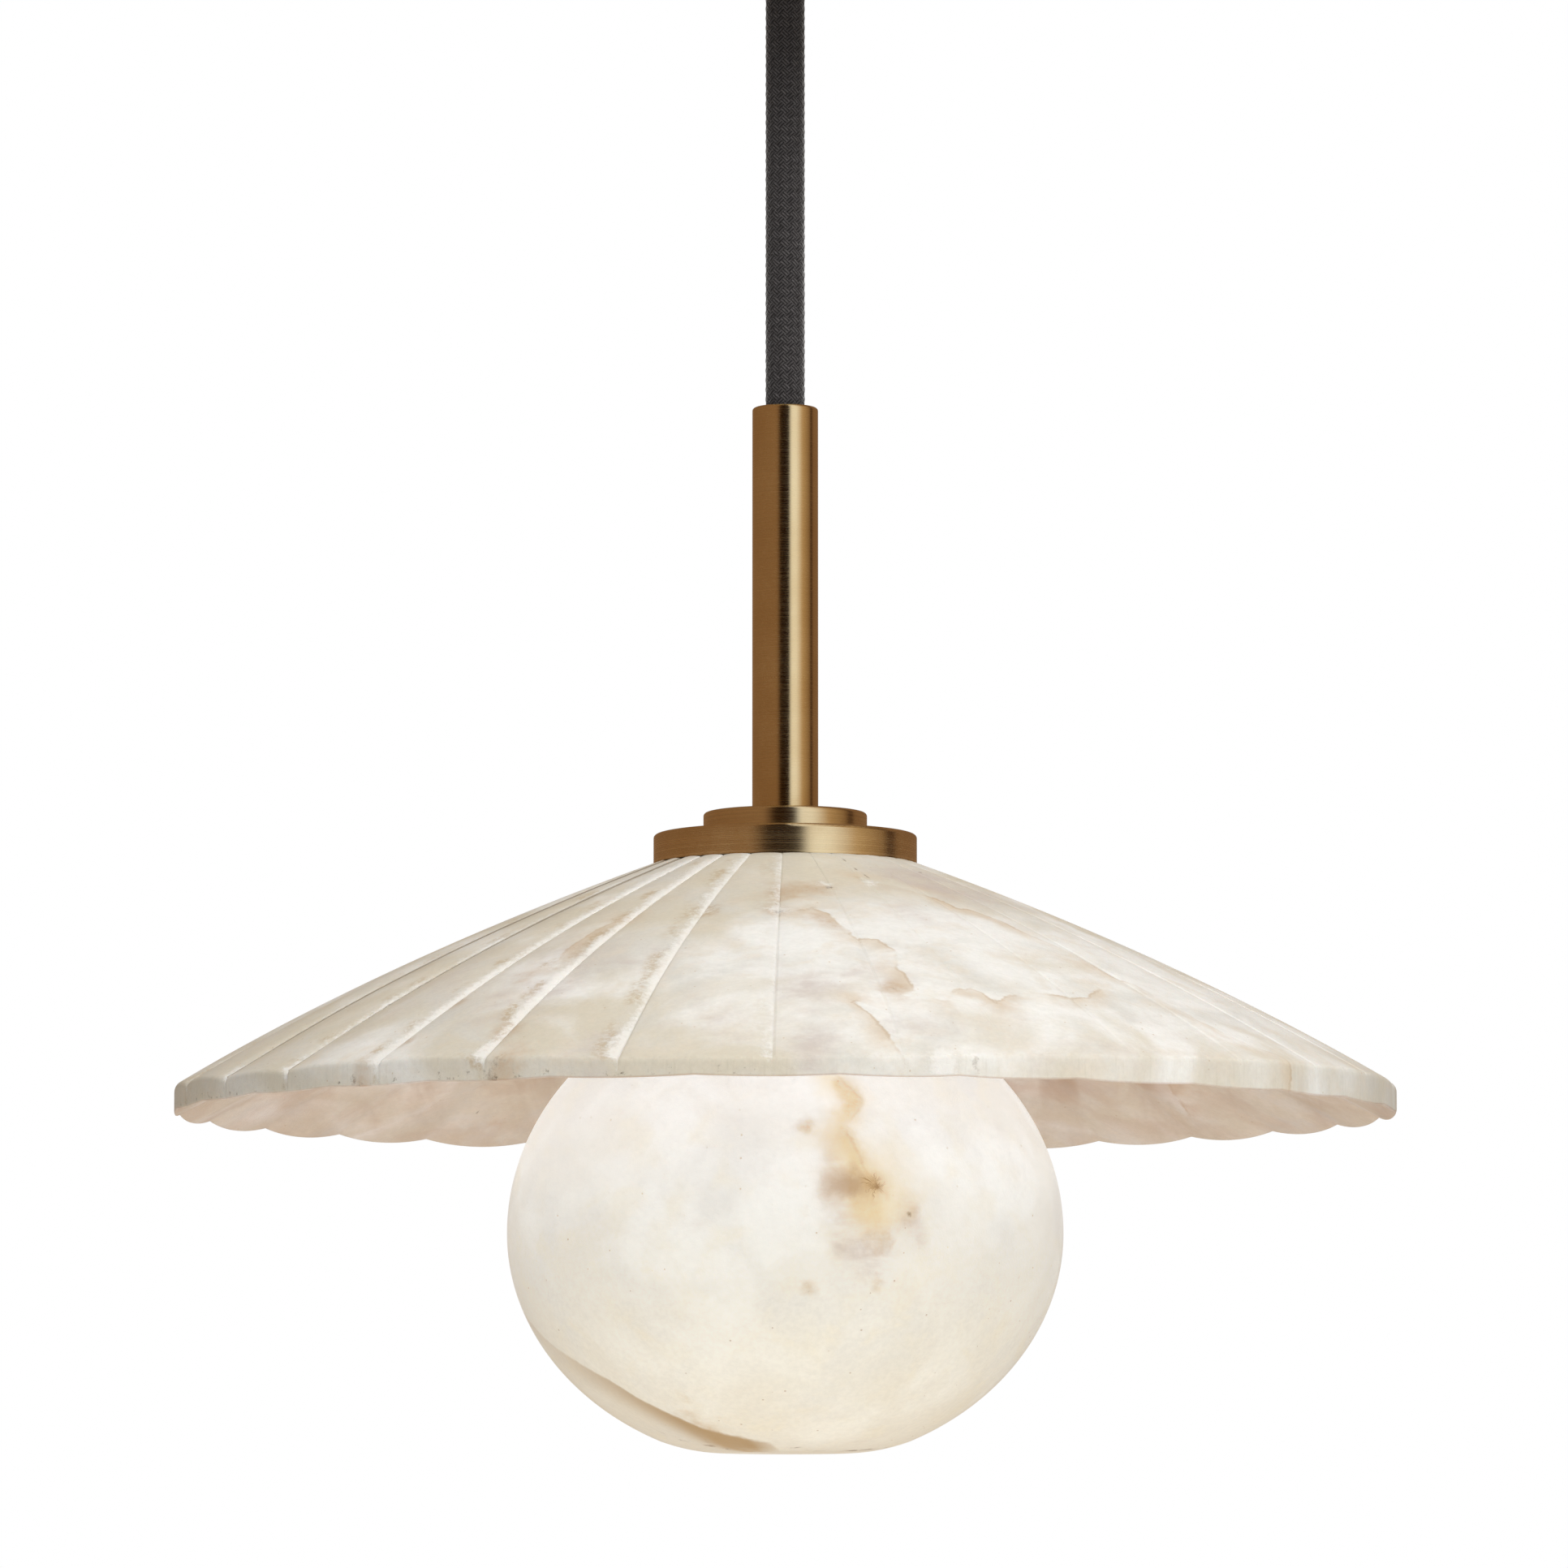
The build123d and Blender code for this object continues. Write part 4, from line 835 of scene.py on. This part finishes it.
# Lampholder and lamp: a pressed ceramic block screwed to the steel disc, and a push-in lamp with two pins.
# The lamp has a moulded base and a frosted sleeve, which glows.
# The ceramic is chalky, the base has a low shine, and the sleeve's frosting spreads its glow.
white_ceramic = mottled("pressed white ceramic", "#ECE9E1", "#E0DBD0",
                        grain_mm=1.2, roughness=(0.45, 0.6), strength=0.15)
lamp_plastic = mottled("moulded white PBT", "#E4E3DF", "#D6D5D1",
                       grain_mm=0.9, roughness=(0.4, 0.5), strength=0.1)
frosted_sleeve = mottled("frosted polycarbonate, lit", "#E9DFCA", "#DFD2B8",
                         grain_mm=2.0, roughness=(0.5, 0.6), strength=0.05,
                         Emission_Color=linear("#FFF4E2"), Emission_Strength=0.15)
dress(white_ceramic, "lampholder")
dress(zinc_steel, "lampholder_screws", "lamp_pins")
dress(lamp_plastic, "lamp_base")
dress(frosted_sleeve, "lamp_cover")

# Globe: a bowl turned from a second block of alabaster, about 8 mm thick and a little flatter below. A
# flanged brass collar with a ring nut inside holds its lip. The lamp's light through the stone is a painted
# glow.
globe_low, globe_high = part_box("globe")
mouth_height = float(globe_high.z)
foot_height = float(globe_low.z)
globe_radius = 0.0683
globe_upper = 0.061
globe_lower = 0.057
mouth_radius = 0.039
mouth_round = 0.0012
lip_radius = 0.0307
lip_height = 0.0046
foot_radius = 0.0225
foot_reach = 0.0075
foot_rings = (0.008, 0.002)
globe_wall = 0.008
seat_radius = 0.0362
inner_start = np.radians(88)
inside_rows = (18, 10)
outside_rows = (62, 80)
foot_turn_rows = 12
globe_middle = mouth_height - globe_upper * np.sqrt(1 - (mouth_radius / globe_radius) ** 2)
# Columns lie closer together in front, where the veins are: share of the columns, and azimuth.
globe_columns = 480
column_grading = [(0, 0.36, 0.70, 1), (-180, -12, 38, 180)]


def ellipse_arc(angle, width, height):
    """Radius and height on an ellipse round the globe's middle, by angles up from level: cosine and sine.

    A negative height turns it downwards.
    """
    return np.stack([np.cos(angle) * width, globe_middle + np.sin(angle) * height], axis=-1)


def bowl_section():
    """Radius and height round the bowl's wall: up the inside to the seat, over the lip, down the outside.

    Each wall is a quarter of an ellipse above and another below, and the foot's edge is rounded off to a
    flat. The inside starts two degrees from the axis.
    """
    inner_radius = globe_radius - globe_wall
    inner_lower = globe_middle - foot_height - globe_wall
    inner_upper = globe_upper - globe_wall
    seat_angle = np.arccos(seat_radius / inner_radius)
    below = np.linspace(inner_start, 0, inside_rows[0])
    above = np.linspace(0, seat_angle, inside_rows[1])[1:]
    inside = np.concatenate([ellipse_arc(below, inner_radius, -inner_lower),
                             ellipse_arc(above, inner_radius, inner_upper)])
    lip = np.array([(seat_radius, mouth_height - lip_height), (lip_radius, mouth_height - lip_height),
                    (lip_radius, mouth_height), (mouth_radius - mouth_round, mouth_height)])
    mouth_angle = np.arccos(mouth_radius / globe_radius)
    foot_angle = np.arccos(foot_radius / globe_radius)
    above = np.linspace(mouth_angle, 0, outside_rows[0])
    below = np.linspace(0, foot_angle, outside_rows[1])[1:]
    outside = np.concatenate([ellipse_arc(above, globe_radius, globe_upper),
                              ellipse_arc(below, globe_radius, -globe_lower)])
    corner = np.array([foot_radius, foot_height])
    kept = outside[np.linalg.norm(outside - corner, axis=1) > foot_reach]
    foot_turn = rounded(kept[-1], corner, corner - (foot_reach, 0), foot_turn_rows)[:, 0]
    flat = np.array([(radius, foot_height) for radius in foot_rings])
    return np.concatenate([inside, lip, kept, foot_turn, flat])


bowl = bowl_section()
turns = np.interp(np.arange(globe_columns) / globe_columns, *column_grading)
globe_points = bowl[:, None, :1] * around(turns) + bowl[:, None, 1:] * np.array([0, 0, 1])
globe = surface("turned_globe", globe_points, poles=True)


def unrolled(turn, rise):
    """Point in mm on a sheet rolled off the globe's widest ring: the arc's length and the height over it."""
    return np.stack(np.broadcast_arrays(np.radians(turn) * globe_radius * 1000, rise), axis=-1)


# Veins: reach of the clear stone beyond one (degrees, mm), then azimuth and height in mm along it.
globe_veins = [
    ((16, 6), [
        (12, 38), (13.5, 34), (16, 31), (18, 28.5), (16, 26), (14, 23), (13, 21), (14, 19), (15.5, 15.5),
        (16, 13), (17.5, 10.5), (18.5, 8.5), (18, 6), (17, 3),
    ]),
    ((8, 3), [(100, 30), (108, 18), (121, 12), (126, -6), (139, -14)]),
    ((8, 3), [(-164, 36), (-170, 22), (-159, 8), (-162, -10), (-146, -24), (-138, -38)]),
    ((6, 3), [(-98, 20), (-105, 6), (-97, -9), (-102, -22)]),
]
# Soft blots, as on the shade: azimuth, height and size in mm, strength. One on the seam behind is there
# twice.
globe_milky = [
    (0, 40, 40, 0.8), (-20, -30, 40, 0.5), (90, 0, 50, 0.1), (180, 0, 60, 0.5), (-180, 0, 60, 0.5),
    (-90, 10, 40, 0.3),
]
globe_grey = [
    (11, 20.5, 5, 0.8), (12, 14, 5, 0.9), (12, 9.5, 5.5, 1.0), (14.5, 7, 5, 1.0), (9, 6.5, 4, 0.7),
    (13, -2, 5, 0.7), (12.5, -5, 5, 0.8), (16.5, -4, 5, 0.6), (21, -8.5, 5, 0.6), (17, -11, 5, 0.6),
    (24.5, 4, 3.5, 0.9), (26, 1, 3.5, 0.9), (28, -4, 3, 0.9), (120, 0, 10, 0.5), (-155, 8, 10, 0.5),
    (-100, -6, 9, 0.5),
]
globe_brown = [
    (13.5, 33, 3.5, 0.9), (16.5, 30, 3, 0.7), (14.5, 25, 4, 0.6), (13, 20, 3, 0.7), (15, 16, 2.5, 0.8),
    (16, 12, 3, 0.9), (17.5, 8.5, 3.5, 1.0), (14.5, 6.5, 4.5, 0.7), (17, 3, 3, 0.5), (19, -1, 6, 0.45),
    (20, -6, 6, 0.4), (5, 22.5, 3.5, 0.7), (4, 1.5, 3.5, 0.55), (5, -16, 3.5, 0.8), (19.5, -15.5, 3, 0.6),
    (25.5, 2, 3, 0.5), (18.5, 9, 7, 0.5), (14.5, 28, 7, 0.35), (-32, -52.5, 9, 0.9), (-20, -53, 6, 0.7),
    (112, 16, 8, 0.6), (126, -3, 7, 0.7), (-165, 20, 9, 0.6), (-159, -4, 8, 0.7), (-102, 2, 7, 0.6),
]
globe_dark = [
    (13, 20.5, 1.5, 0.6), (15.5, 13, 2, 0.7), (17, 4, 1.6, 0.4), (25.5, 1.5, 1, 1.0), (5, -17, 1.5, 0.5),
    (-40, -52, 5, 0.6), (-28, -53, 4, 0.5), (126, -5, 3, 0.8), (-159, 4, 3, 0.8),
]
# Cracks: azimuth and height in mm.
globe_cracks = [
    [(-77, -24.5), (-74, -26.5), (-71, -28.5)],
    [(-62, -48.5), (-57, -51), (-46, -52.5), (-36, -52)],
    [(2, -53), (28, -53.5), (58, -53.5), (80, -52.5)],
    [(58, -8.5), (58, -11), (57.5, -13.5)],
    [(150, -40), (163, -44), (171, -49)],
    [(-128, 12), (-131, 4), (-125, -3)],
]
rise = (globe_points[..., 2] - globe_middle) * 1000
sheet_points = unrolled(turns, rise)
vein_marks(globe, sheet_points, unrolled, globe_veins, globe_cracks, milky=globe_milky, brown=globe_brown,
           grey=globe_grey, dark=globe_dark)
# A brown layer lies low on the left: azimuth and height in mm along its upper edge, then azimuth and
# strength. Past its ends the edge is kept below the globe, and it fades out over the foot, between 24 and
# 12 mm from the axis.
layer_edge = [(-90, -77, -71, -61, -54.5, -48, -41, -34, -27, -19, -7.5, 2),
              (-17, -24.5, -28.5, -33.5, -37, -41.5, -45.5, -48.5, -49.5, -50.5, -52, -56)]
layer_strength = [(-90, -70, -40, -18, 0), (0.15, 0.3, 1, 1, 0)]
below_globe = -90
layer_fade = 0.012
towards_foot = np.clip((bowl[:, :1] - layer_fade) / layer_fade, 0, 1)
mark(globe, "layer", np.interp(turns, *layer_edge, left=below_globe, right=below_globe) - rise)
mark(globe, "layer_strength", np.interp(turns, *layer_strength) * towards_foot)
mark(globe, "rise", rise)
# A star of iron where the vein turns: mm across and up from its middle.
star_place = (18.5, 8.5)
from_star = sheet_points - unrolled(*star_place)
mark(globe, "star_across", from_star[..., 0])
mark(globe, "star_up", from_star[..., 1])

globe_tones = {
    "pale": "#E6DFCF", "clear": "#F1EDE1", "cool": "#E2DDD1", "warm": "#EAE0C8", "grey": "#BCA28E",
    "brown": "#BC924C", "stain": "#DEC48E", "line": "#9A6C2C", "dark": "#5E360C",
}
# Turned stone is a little smoother than carved, and the lamp's light through it is painted on as a glow in
# its own colours.
turned_stone, tree, shader, coordinates, colour, grain = alabaster(
    "turned alabaster, glow painted on", globe_tones, wander=4.0, soft_edge=3.0, far_side=0.4,
    stain_reach=6.0, clay=0.5, line=0.35, Roughness=0.38, Emission_Strength=1.0)
# Noises: size in mm, detail and distortion.
globe_patterns = {
    "layer": (7, 5.0, 0.0), "bend": (2.5, 4.0, 0.0), "halo": (6, 6.0, 0.0), "torn": (12, 6.0, 0.6),
}
globe_noise = {}
for pattern, (size_mm, detail, distortion) in globe_patterns.items():
    globe_noise[pattern] = add(tree, "ShaderNodeTexNoise", {
        "Vector": coordinates, "Scale": 1000 / size_mm, "Detail": detail, "Roughness": 0.55,
        "Distortion": distortion})
globe_at = {}
for attribute in ("layer", "layer_strength", "rise", "star_across", "star_up", "vein", "stained"):
    globe_at[attribute] = add(tree, "ShaderNodeAttribute", attribute_name=attribute).outputs["Fac"]
torn = globe_noise["torn"]

depth_in = add(tree, "ShaderNodeMath", {0: globe_noise["layer"], 1: 1.6, 2: globe_at["layer"]},
               operation="MULTIPLY_ADD")
layer_top = add(tree, "ShaderNodeMapRange", {0: depth_in, 1: 0.4, 2: 1.5}, **smooth)
layer_below = add(tree, "ShaderNodeMapRange", {0: depth_in, 1: 13.0, 2: 1.5, 3: 0.2, 4: 0.95}, **smooth)
inside_layer = add(tree, "ShaderNodeMath", {0: layer_top, 1: layer_below}, operation="MULTIPLY")
layer = add(tree, "ShaderNodeMath", {0: inside_layer, 1: globe_at["layer_strength"]}, operation="MULTIPLY")

# Round the star and along the vein the stone is warmer: torn patches, by the distance from either.
bend = add(tree, "ShaderNodeMath", {0: globe_noise["bend"], 1: 3.0, 2: -1.5}, operation="MULTIPLY_ADD")
star_over = add(tree, "ShaderNodeMath", {0: globe_at["star_across"], 1: bend}, operation="ADD")
star_rise = add(tree, "ShaderNodeMath", {0: globe_at["star_up"], 1: bend}, operation="SUBTRACT")
rise_squared = add(tree, "ShaderNodeMath", {0: star_rise, 1: star_rise}, operation="MULTIPLY")
star_squared = add(tree, "ShaderNodeMath", {0: star_over, 1: star_over, 2: rise_squared},
                   operation="MULTIPLY_ADD")
off_star = add(tree, "ShaderNodeMath", {0: star_squared}, operation="SQRT")
torn_round = add(tree, "ShaderNodeMath", {0: torn, 1: 14.0, 2: off_star}, operation="MULTIPLY_ADD")
warm_round = add(tree, "ShaderNodeMapRange", {0: torn_round, 1: 24.0, 2: 9.0, 4: 0.5}, **smooth)
torn_along = add(tree, "ShaderNodeMath", {0: torn, 1: 8.0, 2: globe_at["vein"]}, operation="MULTIPLY_ADD")
along_vein = add(tree, "ShaderNodeMapRange", {0: torn_along, 1: 14.0, 2: 5.0, 4: 0.5}, **smooth)
vein_side = add(tree, "ShaderNodeMapRange", {0: globe_at["stained"], 1: -4.0, 2: 4.0}, **smooth)
warm_along = add(tree, "ShaderNodeMath", {0: along_vein, 1: vein_side}, operation="MULTIPLY")

# Left of the star, as far as the vein, the stone is bruised brown: an ellipse, torn at its edge.
beside_star = add(tree, "ShaderNodeMath", {0: globe_at["star_across"], 1: 0.7, 2: 4.0},
                  operation="MULTIPLY_ADD")
beside_squared = add(tree, "ShaderNodeMath", {0: beside_star, 1: beside_star, 2: rise_squared},
                     operation="MULTIPLY_ADD")
off_brown = add(tree, "ShaderNodeMath", {0: beside_squared}, operation="SQRT")
torn_brown = add(tree, "ShaderNodeMath", {0: torn, 1: 9.0, 2: off_brown}, operation="MULTIPLY_ADD")
brown_patch = add(tree, "ShaderNodeMapRange", {0: torn_brown, 1: 10.5, 2: 5.0, 4: 0.6}, **smooth)
up_to_vein = add(tree, "ShaderNodeMapRange", {0: globe_at["stained"], 1: -0.5, 2: 1.5}, **smooth)
brown_bruise = add(tree, "ShaderNodeMath", {0: brown_patch, 1: up_to_vein}, operation="MULTIPLY")

# Short brown lines run out from the star: noise round its middle, the same at every distance until they
# fade. A frayed halo lies round them and a darker core on the middle.
heading = add(tree, "ShaderNodeMath", {0: star_rise, 1: star_over}, operation="ARCTAN2")
rays = add(tree, "ShaderNodeTexNoise", {"W": heading, "Scale": 5.0, "Detail": 3.0, "Roughness": 0.6},
           noise_dimensions="1D")
ray_length = add(tree, "ShaderNodeMath", {0: rays, 1: 9.0, 2: -3.0}, operation="MULTIPLY_ADD")
past_ray = add(tree, "ShaderNodeMath", {0: off_star, 1: ray_length}, operation="SUBTRACT")
star = add(tree, "ShaderNodeMapRange", {0: past_ray, 1: 1.0, 2: -2.5, 4: 0.7}, **smooth)
halo_edge = add(tree, "ShaderNodeMath", {0: globe_noise["halo"], 1: 5.0, 2: off_star},
                operation="MULTIPLY_ADD")
halo = add(tree, "ShaderNodeMapRange", {0: halo_edge, 1: 8.0, 2: 2.5, 4: 0.5}, **smooth)
core_edge = add(tree, "ShaderNodeMath", {0: globe_noise["halo"], 1: 4.0, 2: off_star},
                operation="MULTIPLY_ADD")
core = add(tree, "ShaderNodeMapRange", {0: core_edge, 1: 3.6, 2: 2.0, 4: 0.5}, **smooth)

for share, tone in [(layer, "#B0946E"), (warm_round, "#E8D3A6"), (warm_along, "#E6CFA0"),
                    (brown_bruise, "#A37B55"), (halo, "#BE9456"), (star, "#94632C"), (core, "#7A4C1C")]:
    colour = add(tree, "ShaderNodeMix", {0: share, 6: colour, 7: linear(tone)}, data_type="RGBA")
# Painted glow: strongest at the mouth, beside the lamp, and weakest at the foot, and bluer above, against
# the warm light there from the shade's underside.
painted_glow_height = add(tree, "ShaderNodeMapRange", {0: globe_at["rise"], 1: -50.0, 2: 45.0}, **smooth)
glow = add(tree, "ShaderNodeMix", {0: painted_glow_height, 6: linear("#6A6253"), 7: linear("#CAD9EE")},
           data_type="RGBA")
painted_glow_colour = add(tree, "ShaderNodeMix", {0: 1.0, 6: colour, 7: glow}, data_type="RGBA", blend_type="MULTIPLY")
tree.links.new(output(painted_glow_colour), shader.inputs["Emission Color"])
finish_material(tree, shader, colour, None, grain, strength=0.25, depth_mm=0.2)
globe.data.materials.append(turned_stone)
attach(globe, "globe")
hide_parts("globe")
dress(bright_brass, "globe_collar", "collar_ring_nut")
dress(black_rubber, "globe_gasket")

# Studio: a pale floor far below, a white surround, a soft key lamp in front on the right and above, and two
# more, a weak one above and one below. One bent card stands all round, seen only in reflections, so that
# the brass mirrors its bands.


def lamp(name, place, aim, size, watts):
    """Square soft white lamp at a place, turned to face a point and left out of reflections."""
    light = bpy.data.lights.new(name, "AREA")
    light.size = size
    light.energy = watts
    made = bpy.data.objects.new(name, light)
    bpy.context.collection.objects.link(made)
    made.location = place
    made.rotation_euler = (Vector(aim) - Vector(place)).to_track_quat("-Z", "Y").to_euler()
    made.visible_glossy = False


def card(name, stops):
    """Sheet bent round the axis, over the lamp and under it, shaded evenly between its stops' tones."""
    turn = np.linspace(stops[0][0], stops[-1][0], card_columns)
    outline = [(card_hole, card_head), (card_distance, card_head),
               (card_distance, card_foot), (card_hole, card_foot)]
    bend = np.stack([reach * around(turn) + (0, 0, level) for reach, level in outline])
    index = np.arange(len(outline) * card_columns).reshape(len(outline), card_columns)
    faces = np.stack([index[:-1, :-1], index[1:, :-1], index[1:, 1:], index[:-1, 1:]], axis=-1)
    mesh = bpy.data.meshes.new(name)
    mesh.from_pydata(bend.reshape(-1, 3).tolist(), [], faces.reshape(-1, 4).tolist())
    stop_turns = [stop_turn for stop_turn, _ in stops]
    stop_tones = np.array([linear(tone) for _, tone in stops])
    tones = np.stack([np.interp(turn, stop_turns, channel) for channel in stop_tones.T], axis=-1)
    painted = mesh.color_attributes.new("tone", "FLOAT_COLOR", "POINT")
    painted.data.foreach_set("color", np.tile(tones, (len(outline), 1)).ravel())
    sheet = bpy.data.objects.new(name, mesh)
    bpy.context.collection.objects.link(sheet)
    material = bpy.data.materials.new(name)
    material.use_nodes = True
    tree = material.node_tree
    tree.nodes.clear()
    tone = add(tree, "ShaderNodeAttribute", attribute_name="tone")
    glow = add(tree, "ShaderNodeEmission", {"Color": tone.outputs["Color"], "Strength": 1.0})
    add(tree, "ShaderNodeOutputMaterial", {"Surface": glow})
    mesh.materials.append(material)
    sheet.visible_camera = False
    sheet.visible_diffuse = False
    sheet.visible_transmission = False
    sheet.visible_shadow = False


shade_middle = (0, 0, -0.33)
lamp("key_lamp", (0.52, -1.05, 0.95), shade_middle, size=0.7, watts=18)
lamp("top_lamp", (0.3, 0.5, 1.4), shade_middle, size=1.2, watts=1)
lamp("low_lamp", (0.1, -0.5, -1.9), shade_middle, size=1.4, watts=15)
card_distance = 2.6
card_head = 4.0
card_foot = -2.19
card_hole = 0.2
card_columns = 361
card("bent_card", [(-180, "#846549"), (-30, "#8E6E50"), (-15, "#1E0C02"), (13, "#1E0C02"), (22, "#FFFFFF"),
                   (40, "#FFFFFF"), (64, "#C0A27C"), (96, "#8A6C4D"), (101, "#4A3426"), (109, "#4A3426"),
                   (115, "#846549"), (180, "#846549")])

floor_half = 6
floor_height = -2.2
floor_corners = [(-floor_half, -floor_half, floor_height), (floor_half, -floor_half, floor_height),
                 (floor_half, floor_half, floor_height), (-floor_half, floor_half, floor_height)]
floor_mesh = bpy.data.meshes.new("floor")
floor_mesh.from_pydata(floor_corners, [], [(0, 1, 2, 3)])
studio_floor = bpy.data.objects.new("floor", floor_mesh)
bpy.context.collection.objects.link(studio_floor)
# Flat paint, almost even in tone.
floor_paint = mottled("pale painted floor", "#F4F4F3", "#EEEEED",
                      grain_mm=30, roughness=(0.7, 0.8), strength=0.02)
floor_mesh.materials.append(floor_paint)

# The surround is white where it is seen, mirrored or seen through, and gives about half as much light.
world = bpy.data.worlds.new("studio")
bpy.context.scene.world = world
world.use_nodes = True
surround = world.node_tree
surround.nodes.clear()
ray = add(surround, "ShaderNodeLightPath").outputs
seen = add(surround, "ShaderNodeMath", {0: ray["Is Camera Ray"], 1: ray["Is Glossy Ray"]},
           operation="MAXIMUM")
shown = add(surround, "ShaderNodeMath", {0: seen, 1: ray["Is Transmission Ray"]}, operation="MAXIMUM")
fill_light = add(surround, "ShaderNodeBackground", {"Color": linear("#FFFFFF"), "Strength": 0.51})
white = add(surround, "ShaderNodeBackground", {"Color": linear("#FFFFFF"), "Strength": 1.0})
both = add(surround, "ShaderNodeMixShader", {0: shown, 1: fill_light, 2: white})
add(surround, "ShaderNodeOutputWorld", {"Surface": both})
bpy.context.scene.view_settings.view_transform = "Standard"

# Camera: two metres from the axis, a little lower than the globe's foot, looking up by about six degrees.
camera_place = (-0.0003, -2.0, -0.4482)
camera_pitch = 5.893
view_camera = bpy.data.cameras.new("camera")
view_camera.sensor_width = 36.0
view_camera.lens = 186.9
eye = bpy.data.objects.new("camera", view_camera)
bpy.context.collection.objects.link(eye)
eye.location = camera_place
eye.rotation_euler = (np.radians(90 + camera_pitch), 0, 0)
bpy.context.scene.camera = eye
